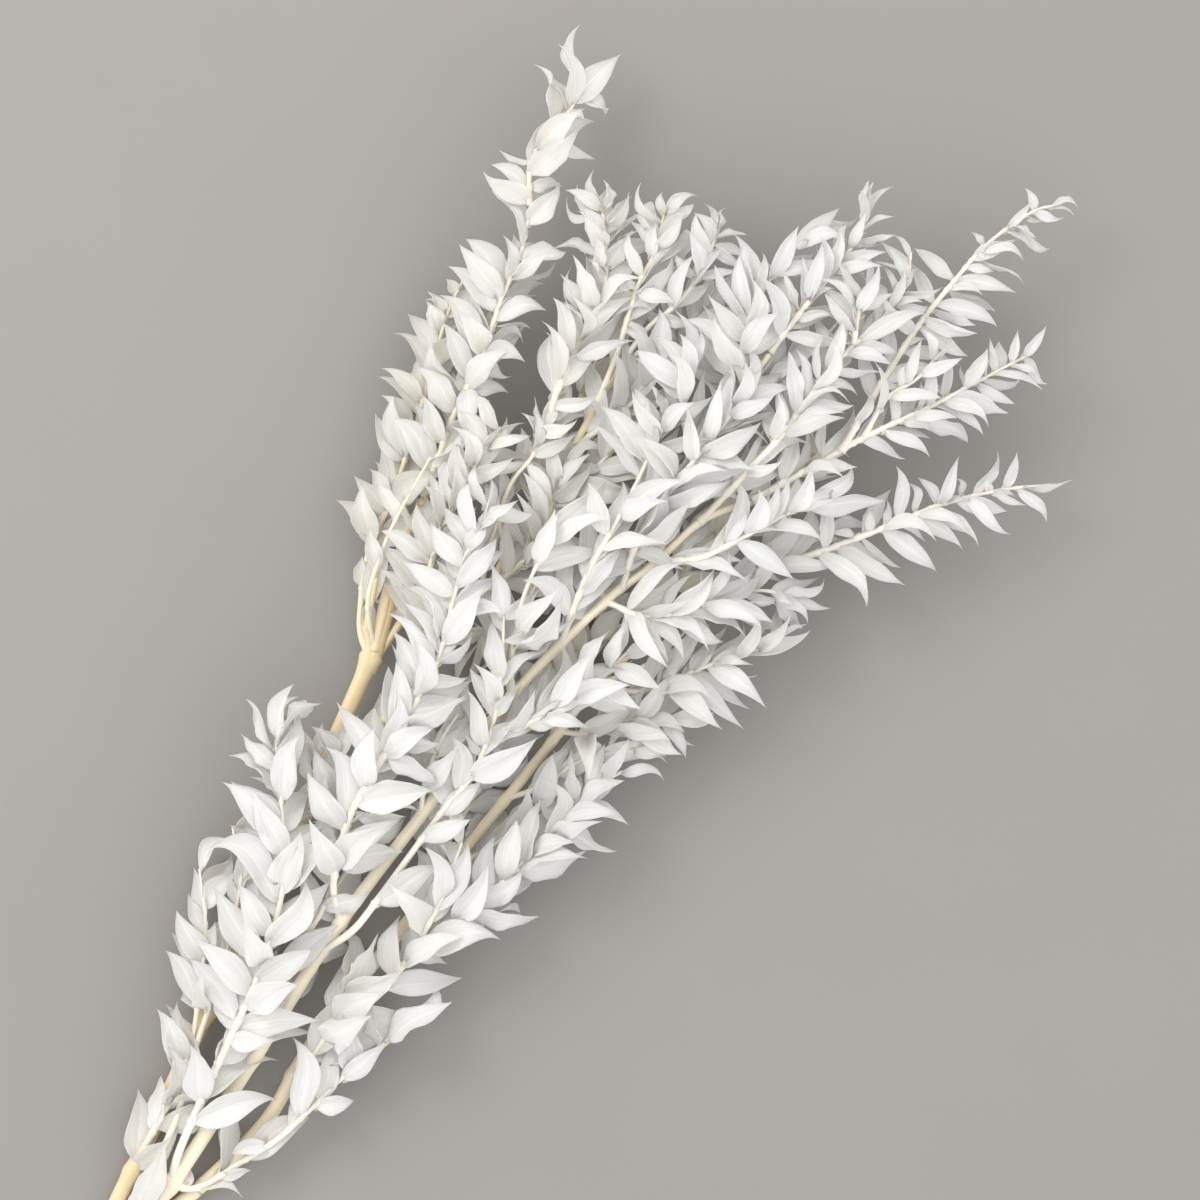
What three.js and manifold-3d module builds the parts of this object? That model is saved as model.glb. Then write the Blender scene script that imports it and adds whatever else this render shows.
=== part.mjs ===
// A dried, bleached ruscus stem, lying down: one woody stem that forks low into long canes,
// and the leafy white twigs that grow on them. Millimetres. +X runs from the cut end to the
// tips, +Y across, +Z up; the part lies on the plane z = 0.
import * as THREE from 'three';
import { mergeVertices } from 'three/addons/utils/BufferGeometryUtils.js';
import Module from 'manifold-3d';

const wasm = await Module();
wasm.setup();

// Driving dimensions.
const GAP = 0.3; // air between a twig and the cane that carries it
const CANE_SIDES = 6;
const TWIG_SIDES = 4;
const TWIG_BASE = 1.2; // radius at a short twig's foot
const TWIG_GAIN = 0.004; // and what each millimetre of its length adds
const TWIG_TIP = 0.7;
const KNUCKLE = 1.3; // a fork's swelling, against the radius of its cane
const LEAF_STEP = 11.2; // twig length for each leaf, where none has a place of its own
const LEAF_ROOM = 20; // and how near to one that has the next may stand
const SHORTEST = 12; // shorter leaves, the curled scraps at the twigs' ends, are left out
const CLEARANCE = 0.35; // kept all round a leaf
const ATTEMPTS = 30; // places tried for a leaf before it is left out
const FOOT_Z = 4; // the foot's axis: its underside is planed flat at z = 0
const MIDDLE = new THREE.Vector3(286.6, 17.8, 0); // of the whole stem, in the routes' frame

// A leaf's blade: shares of its length along it, of its half breadth across it, or millimetres.
const BLADE = {
  thick: 1.1, // at the rib
  rootHalf: 0.4, // half its depth where it leaves the twig
  widest: 0.38,
  narrowing: 0.74,
  narrow: 0.5, // breadth at `narrowing`, against the widest
};

// The blade's faces: its corners are the root's upper and lower one, the left and the right
// rim where it is widest, the keel there, both rims where it narrows, and the tip.
const BLADE_FACES = [
  [0, 3, 2], [0, 2, 4], [0, 4, 1], [0, 1, 3], [1, 4, 3],
  [2, 3, 5], [3, 6, 5], [5, 6, 7], [3, 4, 6], [6, 4, 7], [4, 2, 5], [4, 5, 7],
];

// How a leaf sits on its twig: radians, or shares of its length. Each spread goes both ways.
const SEAT = {
  turn: 1.25, // round the twig, from straight up to either side
  turnSpread: 0.75,
  splay: 0.72, // away from the twig's own direction
  splaySpread: 0.26,
  looser: 0.12, // what each later attempt adds to both spreads
  rise: 0.05, // of a leaf with a place of its own, against its reach seen from above
  riseSpread: 0.2,
  lowest: 1, // millimetres from the floor to the lowest such tip
  tipInset: 1.2, // millimetres from the twig's end to the last place for a leaf
  faceUp: 0.9,
  faceOut: 0.25,
  faceSpread: 0.5,
  rollSpread: 0.4,
  shorter: 0.42, // what the leaves lose in length by the twig's end
  lengthSpread: 0.14,
  breadthSpread: 0.12,
  fold: [0.12, 0.5], // the rims' rise over the rib: the least, and the most that is added
  arch: [0.02, 0.06],
  curl: [-0.2, 0.3],
  hook: 0.14, // bowed towards the twig's end, so that its tip turns outward
  hookSpread: 0.16,
};

// The forks: each is swollen to a knuckle, and the routes below start or pass there.
const CROTCH = [-45, 3, 6];
const LOW_FORK = [11, -3, 13];
const LEFT_FORK = [92, 35, 11];
const UPPER_FORK = [287, 77, 17];
const MIDDLE_FORK = [405, -9, 50];
const FORKS = [
  { at: CROTCH, radius: 4.4 },
  { at: LOW_FORK, radius: 3.6 },
  { at: LEFT_FORK, radius: 3.4 },
  { at: UPPER_FORK, radius: 4.3 },
  { at: MIDDLE_FORK, radius: 2.1 },
];

// The wood: radius at the first and at the last point, then the route.
const CANES = [
  { name: 'foot', from: 5.4, to: 4.4, route: [[-103, -3, FOOT_Z], [-74, 0, FOOT_Z], CROTCH] },
  { name: 'left', from: 4.1, to: 4.1,
    route: [CROTCH, [-15, 13, 6], [22, 20, 8], LEFT_FORK, [163, 49, 13], [236, 65, 15],
      UPPER_FORK] },
  { name: 'left_end', from: 3.1, to: 2, route: [UPPER_FORK, [328, 94, 22], [364, 103, 27]] },
  { name: 'middle', from: 3.9, to: 1.6,
    route: [CROTCH, [-20, 0, 9], LOW_FORK, [89, 2, 22], [166, 8, 31], [247, 8, 39],
      [311, 8, 44], [377, -1, 48], MIDDLE_FORK, [437, -15, 52], [461, -29, 53]] },
  { name: 'right', from: 3.8, to: 1.7,
    route: [CROTCH, [-15, -5, 5], [11, -14, 6], [64, -22, 9], [113, -17, 12],
      [208, -19, 16], [305, -22, 20], [341, -22, 22], [370, -29, 24], [397, -39, 27],
      [427, -45, 30]] },
  { name: 'hidden', from: 2.8, to: 1.7,
    route: [LEFT_FORK, [138, 49, 17], [173, 55, 20], [227, 52, 22], [292, 51, 25],
      [341, 49, 28], [391, 57, 32], [427, 58, 36], [454, 62, 40], [477, 64, 45]] },
  { name: 'upper', from: 1.9, to: 1.4,
    route: [MIDDLE_FORK, [429, -4, 55], [460, 2, 59], [495, 7, 61], [525, 8, 61]] },
];

// The leafy twigs: the node, leaf length, breadth against length, the share of the twig that
// is bare at its foot, the route, and the tips of the leaves that have a place of their own:
// distance along the twig, the tip's x and y and, where its blade is turned, by how many
// degrees. Rows of one node are branches of one twig.
const TWIGS = [
  { node: 'low_left', leaf: 34, broad: 0.38, bare: 0.06,
    route: [[4, 17, 8], [39, 22, 18], [71, 30, 22], [105, 48, 23], [126, 61, 23], [147, 81, 22]],
    tips: [[2, 38, 12], [5, 39, 39.5], [24, 52, 34], [40, 67, 42], [56, 87, 50], [62, 82, 54],
      [64, 78, 56], [93, 103.5, 70], [109, 112.5, 73], [114, 124, 77.5], [118, 131, 59],
      [128, 134, 78], [134, 145.5, 84]] },
  { node: 'low_white', leaf: 36, broad: 0.38, bare: 0.12,
    route: [LOW_FORK, [29, 4, 22], [73, 14, 32], [115, 23, 40], [161, 39, 46], [188, 58, 48],
      [207, 75, 48], [224, 89, 46], [240, 93, 43]],
    tips: [[36, 78, -21], [50, 94.5, -9.5], [82, 104, -3], [88, 125, 44.5], [91, 124, -14],
      [112, 140, 44], [125, 145.5, 70], [134, 176, 36], [142, 184, 25], [150, 166, 72],
      [158, 157, 84], [164, 203, 35], [179, 196, 82], [189, 189.5, 98], [196, 192, 95],
      [208, 233, 80], [212, 202, 103], [215, 240, 87], [225, 214.5, 105], [232, 230, 113, 50],
      [236, 251, 81], [240, 251, 98], [246, 247, 92.5, 40]] },
  { node: 'low_ivory', leaf: 34, broad: 0.38, bare: 0.5,
    route: [[-20, 0, 9], [-2, 6, 14], [14, 9, 16], [40, 15, 18], [73, 28, 23], [103, 38, 27],
      [134, 50, 31], [159, 63, 32], [174, 80, 31]],
    tips: [[150, 140, 63], [161, 146, 64], [175, 154, 65.5], [205, 174, 82]] },
  { node: 'low_curl', leaf: 34, broad: 0.38, bare: 0.1,
    route: [LOW_FORK, [18, -15, 14], [43, -25, 18], [62, -32, 21], [82, -36, 23],
      [109, -40, 25], [134, -46, 26], [154, -53, 25]],
    tips: [[6, 24, -4], [14, 27.5, -36.5], [26, 50, -4], [27, 41, -31.5], [42, 80.5, -39],
      [56, 42, -18], [78, 108, -7], [86, 100.5, -51.5], [106, 136, -49], [136, 171, -60.5]] },
  { node: 'low_broad', leaf: 40, broad: 0.44, bare: 0.1,
    route: [[90, -18, 11], [101, -21, 22], [119, -20, 28], [141, -16, 32], [156, -9, 33]],
    tips: [[22, 144, -14], [32, 152, -48], [44, 158.5, -2.5], [58, 177, -10]] },
  { node: 'mid_left', leaf: 34, broad: 0.38, bare: 0.1,
    route: [[89, 2, 22], [112, 14, 29], [139, 18, 32], [167, 19, 34], [194, 28, 36], [218, 44, 37],
      [236, 60, 36]],
    tips: [[22, 122, 5], [46, 168, 8], [62, 158, 27], [116, 200, 50], [120, 213, 58],
      [124, 228, 60], [137, 231, 72]] },
  { node: 'left_small', leaf: 30, broad: 0.38, bare: 0.1,
    route: [[181, 55, 19], [203, 59, 26], [221, 64, 29], [239, 69, 30]],
    tips: [[2, 204, 52], [14, 228, 56], [36, 232, 75], [46, 243, 76]] },
  { node: 'right_low', leaf: 36, broad: 0.36, bare: 0.08,
    route: [[147, -22, 14], [157, -29, 24], [177, -30, 29], [194, -34, 32], [213, -40, 34],
      [242, -46, 35], [274, -50, 35], [297, -53, 34], [314, -59, 32]],
    tips: [[12, 183, -58], [20, 190, -13.5], [30, 199, -23], [36, 184, -47.5], [43, 210, -62],
      [72, 231, -70], [76, 247, -47], [105, 271.5, -69], [106, 279, -35], [119, 258.5, -56.5],
      [126, 290, -48], [135, 281, -81], [149, 294.5, -78], [152, 309.5, -61.5]] },
  { node: 'right_low', leaf: 34, broad: 0.38, bare: 0.1,
    route: [[177, -30, 29], [199, -27, 38], [217, -23, 44], [238, -16, 46]],
    tips: [[18, 227, -12.5], [26, 241, -17]] },
  { node: 'slender', leaf: 34, broad: 0.38, bare: 0.42,
    route: [[152, 7, 30], [168, 1, 38], [188, 0, 42], [248, 1, 48], [269, 0, 51], [297, 8, 56],
      [322, 22, 60], [342, 36, 61]],
    tips: [[38, 223, -16], [78, 250, -13], [94, 270, -7], [109, 277, 21], [118, 303, -15],
      [130, 305, -3], [131, 282.5, 17], [140, 308, 31], [150, 310, 33], [151, 316, 8],
      [168, 338, 40], [200, 358, 57]] },
  { node: 'long_left', leaf: 36, broad: 0.38, bare: 0.06,
    route: [[169, 8, 31], [183, 23, 42], [211, 35, 50], [226, 38, 53], [279, 44, 58], [303, 48, 60],
      [328, 58, 62], [353, 68, 62], [380, 73, 60]],
    tips: [[34, 216.5, 4], [40, 230, 14], [60, 231, 14], [66, 250, 11], [84, 262, 24],
      [86, 256.5, 76], [94, 279, 56], [96, 253, 11], [98, 266, 18], [102, 272, 21],
      [104, 286, 66], [118, 297, 25], [126, 296, 72], [130, 301, 76], [133, 306, 31],
      [139, 311, 66], [146, 325, 43], [148, 336, 45], [152, 316, 80], [156, 347, 51],
      [190, 364, 61.5], [204, 373, 71]] },
  { node: 'behind_left', leaf: 32, broad: 0.38, bare: 0.08,
    route: [[292, 51, 25], [315, 64, 32], [340, 80, 38], [367, 88, 43], [397, 92, 47], [415, 93, 47]],
    tips: [[44, 331, 97], [55, 347, 101], [66, 358, 95], [70, 376, 79], [98, 416, 89],
      [110, 424, 84], [118, 421.5, 94]] },
  { node: 'behind_mid', leaf: 32, broad: 0.38, bare: 0.08,
    route: [[341, 49, 28], [358, 46, 34], [377, 43, 39], [398, 49, 42], [421, 57, 43]],
    tips: [[62, 430, 47], [80, 426, 64]] },
  { node: 'behind_up', leaf: 30, broad: 0.36, bare: 0.08,
    route: [[366, 53, 30], [379, 66, 38], [396, 72, 44], [415, 72, 48], [436, 81, 48]],
    tips: [[20, 373.5, 45], [52, 398, 49], [58, 431, 84], [66, 426.5, 89.5], [70, 437.5, 89]] },
  { node: 'mid_up', leaf: 36, broad: 0.35, bare: 0.06,
    route: [[345, 3, 46], [370, 11, 56], [395, 16, 62], [423, 20, 66], [448, 25, 68], [469, 29, 67]],
    tips: [[28, 404, 8], [36, 408, 10], [96, 443, 57], [104, 453, 60]] },
  { node: 'mid_right', leaf: 36, broad: 0.34, bare: 0.06,
    route: [[387, -4, 49], [406, 3, 58], [429, 7, 64], [455, 6, 69], [482, 5, 71], [504, 6, 70]],
    tips: [[20, 413, -24, 50], [21, 432, 24], [22, 442, 8.5], [44, 446, 34], [61, 450, 41],
      [63, 453, 36], [76, 473, -21], [102, 517, 6]] },
  { node: 'mid_whorl', leaf: 36, broad: 0.36, bare: 0.06,
    route: [[311, 8, 44], [329, 21, 54], [352, 32, 60], [375, 38, 63], [399, 44, 63]],
    tips: [[6, 346, 21], [24, 358, 30], [68, 397, 15], [70, 399, 47], [82, 410, 20],
      [84, 425, 35]] },
  { node: 'over_cane', leaf: 36, broad: 0.38, bare: 0.08,
    route: [[272, 8, 41], [293, -2, 50], [316, -11, 55], [341, -20, 55], [363, -25, 52]],
    tips: [[36, 335, -33], [44, 322, -33], [50, 356, -30], [58, 354, -22]] },
  { node: 'right_mid', leaf: 34, broad: 0.36, bare: 0.08,
    route: [[311, -22, 20], [319, -35, 27], [335, -45, 31], [346, -56, 32], [352, -70, 30]],
    tips: [[34, 356, -46], [44, 348, -73], [52, 338, -81], [57, 346, -81]] },
  { node: 'right_tuft', leaf: 32, broad: 0.37, bare: 0.08,
    route: [[266, -20, 18], [283, -31, 25], [303, -38, 29], [319, -48, 30], [326, -60, 28]],
    tips: [[16, 311, -31], [54, 330.5, -75], [58, 312, -30], [60, 338, -52], [72, 333.5, -72.5]] },
  { node: 'right_reach', leaf: 34, broad: 0.32, bare: 0.08,
    route: [[345, -22, 22], [348, -38, 29], [360, -49, 34], [380, -60, 36], [397, -73, 36],
      [413, -83, 35]],
    tips: [[32, 396, -49], [36, 361, -87], [50, 405, -57], [51, 367.5, -95.5], [60, 382.5, -98],
      [61, 402.5, -70.5, 50], [63, 396, -79.5], [67, 393.5, -84.5], [76, 415, -73.5],
      [80, 427.5, -91.5], [88, 428.5, -88.5, 50]] },
  { node: 'right_fan', leaf: 32, broad: 0.33, bare: 0.06,
    route: [[377, -1, 48], [382, -19, 56], [395, -34, 58], [410, -44, 56], [415, -60, 51]],
    tips: [[14, 412, -20], [28, 415, -28], [50, 420, -30], [52, 412, -73], [61, 418.5, -75],
      [62, 426, -73.5]] },
  { node: 'tip_fan', leaf: 32, broad: 0.33, bare: 0.05,
    route: [[403, -41, 27], [420, -52, 36], [430, -63, 39], [434, -76, 39]],
    tips: [[8, 429, -53], [24, 434, -69], [40, 433, -77], [41, 428.5, -89], [46, 442.5, -93.5]] },
  { node: 'tip_low', leaf: 29, broad: 0.33, bare: 0.08,
    route: [[427, -45, 30], [448, -63, 34], [480, -84, 36], [500, -96, 36], [518, -107, 34],
      [542, -127, 31], [561, -148, 28]],
    tips: [[6, 469, -56], [12, 438, -68, 55], [14, 461, -83], [27, 460, -75], [43, 452.5, -106.5],
      [53, 473.5, -116.5], [64, 471.5, -70], [66, 479.5, -109.5], [70, 495, -78],
      [77, 488.5, -125], [79, 502.5, -82.5], [86, 497, -111], [95, 505, -128.5],
      [96, 514.5, -85], [103, 510.5, -134], [107, 520.5, -88.5], [112, 528, -110],
      [120, 531.5, -104], [121, 526, -143.5], [134, 541, -116], [136, 542, -133.5],
      [142, 561, -120.5], [148, 541.5, -154], [152, 567, -152, 75]] },
  { node: 'tip_fill', leaf: 32, broad: 0.33, bare: 0.06,
    route: [[409, -10, 50], [423, -26, 60], [445, -37, 63], [466, -47, 61], [482, -55, 57]],
    tips: [[5, 434, -44], [38, 456, -28], [50, 473, -45], [74, 495, -63.5], [80, 501, -82.5],
      [83, 505.5, -57]] },
  { node: 'tip_mid', leaf: 28, broad: 0.34, bare: 0.04,
    route: [[461, -29, 53], [492, -43, 52], [520, -55, 50], [552, -72, 48], [584, -87, 45],
      [601, -95, 43]],
    tips: [[62, 524, -78, 60], [74, 531.5, -87.5], [81, 560, -53], [84, 542, -80],
      [91, 549.5, -98.5], [94, 559, -60], [103, 556.5, -102], [107, 560.5, -102],
      [109, 562, -58], [111, 575, -61], [112, 573, -105.5], [120, 578, -72],
      [126, 578.5, -105], [131, 591, -86], [136, 592.5, -112.5], [137, 597.5, -74.5],
      [147, 594, -106], [148, 609.5, -84], [153, 597, -112.5], [154, 620, -94]] },
  { node: 'tip_mid', leaf: 26, broad: 0.36, bare: 0.1,
    route: [[520, -55, 50], [541, -52, 54], [558, -58, 55], [575, -60, 53]],
    tips: [[12, 540, -51.5], [30, 562, -50], [52, 584, -62]] },
  { node: 'tip_mid', leaf: 27, broad: 0.34, bare: 0.1,
    route: [[507, -50, 51], [533, -47, 51], [554, -45, 50], [582, -43, 48], [610, -44, 45],
      [634, -46, 42], [660, -54, 40], [671, -62, 38]],
    tips: [[14, 540.5, -41], [40, 551, -57], [62, 578, -51], [74, 583.5, -72], [84, 598, -66, 60],
      [88, 604, -75], [98, 612, -60], [103, 610.5, -18], [104, 623.5, -72.5], [112, 625, -57],
      [119, 629, -73, 65], [122, 638, -66.5], [126, 634, -36], [138, 647.5, -67, 60],
      [141, 664.5, -50.5], [143, 651.5, -64, 65], [146, 652.5, -72.5], [152, 660, -61],
      [156, 668.5, -68.5], [158, 668, -43.5], [162, 671.5, -72.5, 65], [166, 676.5, -71.5, 65]] },
  { node: 'crown_long', leaf: 28, broad: 0.31, bare: 0.06,
    route: [[437, -15, 52], [466, -18, 62], [492, -21, 66], [517, -21, 66], [537, -21, 64],
      [553, -23, 62], [572, -26, 58], [592, -26, 53], [608, -18, 48]],
    tips: [[56, 512, -5], [60, 521, -41.5], [64, 517, -5], [68, 524, -2], [73, 531, 1],
      [77, 529, -41], [80, 530, -7], [88, 537, -31], [92, 549, -9], [95, 534, -40, 50],
      [96, 536, -2, 50], [100, 560, -10], [102, 551, -43], [112, 556, -44, 40],
      [116, 563, -43], [121, 587, -42.5], [148, 591, -38], [156, 603.5, -41], [157, 604, -26],
      [168, 592.5, -6, 70], [174, 608.5, -5, 70]] },
  { node: 'crown_long', leaf: 26, broad: 0.32, bare: 0.1,
    route: [[553, -23, 62], [568, -15, 64], [585, -11, 60]],
    tips: [[5, 571, -10], [14, 589, -15], [16, 592.5, -8], [18, 586, -24]] },
  { node: 'crown_right', leaf: 28, broad: 0.31, bare: 0.04,
    route: [[525, 8, 61], [551, 8, 62], [578, 7, 59], [600, 8, 54], [616, 15, 49]],
    tips: [[20, 557, -8], [22, 559.5, -1], [24, 562, 28], [26, 582, 22.5, 50],
      [30, 584.5, 20.5, 50], [32, 569, 1.5], [46, 576, -9.5], [47, 595.5, 19.5], [58, 597, 1],
      [64, 582, -9.5, 55], [66, 612, 13], [68, 601, -4], [76, 616.5, -0.5, 65], [78, 616.5, 21],
      [82, 628.5, 8.5, 65], [84, 623, 20.5], [88, 624.5, 18, 50]] },
  { node: 'crown_mid', leaf: 32, broad: 0.34, bare: 0.05,
    route: [[495, 7, 61], [524, 23, 66], [543, 29, 64], [567, 30, 58], [591, 26, 51]],
    tips: [[30, 524, 50], [34, 549, 42], [50, 543, 16], [51, 562.5, 41], [64, 584, 34.5],
      [74, 566, 16], [84, 603.5, 23.5]] },
  { node: 'crown_deep', leaf: 32, broad: 0.33, bare: 0.06,
    route: [[460, 2, 59], [470, 20, 66], [489, 32, 69], [510, 39, 67]],
    tips: [[12, 494, 16], [40, 505, 50], [44, 508, 47], [48, 514, 44], [52, 516, 39.5]] },
  { node: 'top_left', leaf: 30, broad: 0.37, bare: 0.06,
    route: [[409, 57, 34], [422, 70, 42], [439, 79, 46], [463, 85, 50], [492, 90, 53],
      [509, 98, 52], [526, 112, 48], [537, 123, 44]],
    tips: [[24, 446, 61], [38, 459, 64.5], [45, 467.5, 101, 45], [50, 479, 72], [67, 482, 111],
      [68, 503, 77], [80, 489, 109.5], [93, 505, 116], [96, 504.5, 109], [103, 507.5, 109.5, 60],
      [108, 509, 84], [112, 519, 113], [113, 531, 100], [120, 534, 97], [128, 527, 126.5],
      [133, 546.5, 110], [136, 547.5, 112.5], [141, 527, 136, 60], [143, 544.5, 127, 60],
      [144, 546, 133.5]] },
  { node: 'top_mid', leaf: 30, broad: 0.38, bare: 0.05,
    route: [[454, 62, 40], [480, 69, 50], [510, 80, 56], [531, 84, 55], [549, 92, 50]],
    tips: [[4, 478, 61], [42, 490, 60], [46, 493, 60], [60, 516, 60], [63, 500, 89],
      [68, 533.5, 99.5], [78, 543, 92], [84, 535.5, 103.5], [90, 539.5, 104],
      [97, 554.5, 110.5], [102, 557, 99], [104, 566, 83.5]] },
  { node: 'top_right', leaf: 28, broad: 0.37, bare: 0.05,
    route: [[477, 64, 45], [498, 64, 51], [515, 60, 55], [537, 59, 55], [553, 64, 51], [563, 69, 47]],
    tips: [[28, 515, 44], [38, 536, 53], [52, 552, 58], [57, 549, 41.5], [58, 536, 76],
      [60, 549, 70], [74, 553.5, 43.5], [76, 558, 80.5, 50], [77, 556.5, 43],
      [79, 565.5, 52.5, 50], [80, 565.5, 80], [82, 567, 71, 50], [84, 570, 69, 60]] },
  { node: 'upper_main', leaf: 30, broad: 0.42, bare: 0.04,
    route: [[364, 103, 27], [407, 116, 34], [437, 122, 38], [465, 131, 40], [492, 138, 42],
      [512, 148, 42]],
    tips: [[13, 385, 140.5], [21, 397, 103.5], [30, 397.5, 135], [46, 412.5, 145.5],
      [55, 436, 148], [60, 400, 98.5], [61, 431, 100], [76, 439, 104], [78, 448, 102.5],
      [81, 449, 158], [86, 454.5, 109], [90, 462, 147.5], [93, 463, 110.5], [96, 475, 109.5],
      [100, 478.5, 118], [101, 463, 163], [106, 475.5, 165], [113, 479.5, 164],
      [117, 492.5, 150.5], [120, 499, 121.5], [126, 500.5, 131], [127, 497, 147],
      [146, 531, 143.5], [148, 507, 168.5]] },
  { node: 'upper_main', leaf: 30, broad: 0.42, bare: 0.04,
    route: [[512, 148, 42], [528, 160, 42], [546, 164, 41], [562, 161, 39], [580, 165, 37]],
    tips: [[1, 512, 177.5], [9, 529, 141], [10, 516.5, 176], [20, 554, 166.5], [22, 525, 178],
      [41, 565, 147.5], [42, 551, 136], [43, 570, 189.5, 70], [53, 563, 152],
      [55, 566.5, 177, 50], [56, 585, 186], [60, 600.5, 157.5], [64, 571, 146],
      [68, 599.5, 182.5, 65]] },
  { node: 'upper_back', leaf: 32, broad: 0.42, bare: 0.2,
    route: [UPPER_FORK, [293, 88, 14], [303, 97, 12], [326, 109, 14], [357, 117, 18], [387, 127, 22],
      [416, 138, 26], [445, 149, 29], [470, 154, 31]],
    tips: [[34, 321.5, 110.5], [58, 336, 138], [72, 351.5, 138], [80, 359, 134],
      [92, 374, 130, 65], [101, 383, 148], [114, 391.5, 151.5], [125, 398.5, 157.5],
      [133, 402.5, 159], [146, 420, 165], [158, 432.5, 165], [168, 443, 161.5],
      [178, 447.5, 164], [188, 458, 160]] },
  { node: 'upper_low', leaf: 32, broad: 0.42, bare: 0.15,
    route: [UPPER_FORK, [304, 93, 27], [322, 101, 33], [345, 107, 39], [366, 110, 43], [382, 112, 44]],
    tips: [[6, 309.5, 94], [44, 336, 116], [72, 356.5, 127], [84, 363, 114]] },
  { node: 'bed_low', leaf: 32, broad: 0.4, bare: 0.15,
    route: [[305, -22, 20], [322, -14, 12], [350, -8, 9], [380, 0, 8], [405, 6, 8]], tips: [] },
  { node: 'bed_mid', leaf: 32, broad: 0.4, bare: 0.1,
    route: [[227, 52, 22], [250, 44, 14], [286, 34, 9], [324, 26, 8], [352, 24, 8]], tips: [] },
  { node: 'bed_left', leaf: 32, broad: 0.38, bare: 0.1,
    route: [[391, 57, 32], [412, 62, 22], [440, 68, 16], [474, 76, 13], [505, 82, 11]], tips: [] },
  { node: 'bed_right', leaf: 32, broad: 0.38, bare: 0.1,
    route: [[370, -29, 24], [395, -24, 15], [430, -24, 10], [468, -32, 9], [500, -42, 9]], tips: [] },
];

const vec = (p) => new THREE.Vector3(...p);
const smooth = (route) =>
  new THREE.CatmullRomCurve3(route.map(vec), false, 'catmullrom', 0.5).getPoints(route.length - 1);

// The line's own frame at a point: to its left, and up.
function frameOf(along) {
  const left = new THREE.Vector3(0, 0, 1).cross(along).normalize();
  return { left, up: along.clone().cross(left) };
}

// A tapering tube with closed ends round a line of points.
function tube(line, from, to, sides, grow = 0) {
  const positions = [];
  const faces = [];
  line.forEach((centre, ring) => {
    const ahead = line[Math.min(ring + 1, line.length - 1)];
    const behind = line[Math.max(ring - 1, 0)];
    const { left, up } = frameOf(ahead.clone().sub(behind).normalize());
    const radius = THREE.MathUtils.lerp(from, to, ring / (line.length - 1)) + grow;
    for (let side = 0; side < sides; side++) {
      const turn = (2 * Math.PI * (side + 0.5)) / sides - Math.PI / 2;
      positions.push(...centre.clone()
        .addScaledVector(left, -radius * Math.cos(turn))
        .addScaledVector(up, radius * Math.sin(turn)));
    }
  });
  for (let ring = 0; ring < line.length - 1; ring++)
    for (let side = 0; side < sides; side++) {
      const a = ring * sides + side;
      const b = ring * sides + ((side + 1) % sides);
      faces.push(a, b + sides, b, a, a + sides, b + sides);
    }
  const last = (line.length - 1) * sides;
  for (let side = 1; side < sides - 1; side++) {
    faces.push(0, side, side + 1);
    faces.push(last, last + side + 1, last + side);
  }
  return solid(positions, faces);
}

function solid(positions, faces) {
  return new wasm.Manifold(new wasm.Mesh({
    numProp: 3,
    vertProperties: new Float32Array(positions),
    triVerts: new Uint32Array(faces),
  }));
}

function solidOf(geometry) {
  geometry.deleteAttribute('normal');
  geometry.deleteAttribute('uv');
  const merged = mergeVertices(geometry);
  return solid(merged.attributes.position.array, merged.index.array);
}

// Seeded draws between 0 and 1, so that every leaf falls in the same place each time: the
// plain generator of Park and Miller, whose first two draws follow the seed too closely.
function draws(seed) {
  const modulus = 2147483647;
  let state = 1 + ((seed * 48271) % (modulus - 1));
  const next = () => {
    state = (state * 16807) % modulus;
    return state / modulus;
  };
  next();
  next();
  return next;
}

// A line with the distance to each of its points, and the place at a distance.
function measured(points) {
  const reach = [0];
  for (let i = 1; i < points.length; i++)
    reach.push(reach[i - 1] + points[i].distanceTo(points[i - 1]));
  return { points, reach, total: reach[reach.length - 1] };
}

function placeAt({ points, reach }, distance) {
  let i = 1;
  while (i < points.length - 1 && reach[i] < distance) i += 1;
  const share = (distance - reach[i - 1]) / (reach[i] - reach[i - 1]);
  return {
    at: points[i - 1].clone().lerp(points[i], share),
    along: points[i].clone().sub(points[i - 1]).normalize(),
  };
}

// Where the leaves of a twig grow: first those with a place of their own, then, in two ranks,
// as many more as its bare lengths have room for.
function spotsOf(twig, line) {
  const listed = twig.tips.map(([distance, x, y, roll]) => ({ distance, tip: [x, y], roll }));
  const bare = twig.bare * line.total;
  const room = line.total - SEAT.tipInset - bare;
  const count = Math.round(room / LEAF_STEP);
  const more = Array.from({ length: count }, (_, order) => ({
    distance: bare + (room * (order + 1)) / count,
    rank: order % 2 === 0 ? 1 : -1,
  }));
  return [...listed, ...more.filter(({ distance }) =>
    listed.every((other) => Math.abs(other.distance - distance) > LEAF_ROOM))];
}

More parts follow.
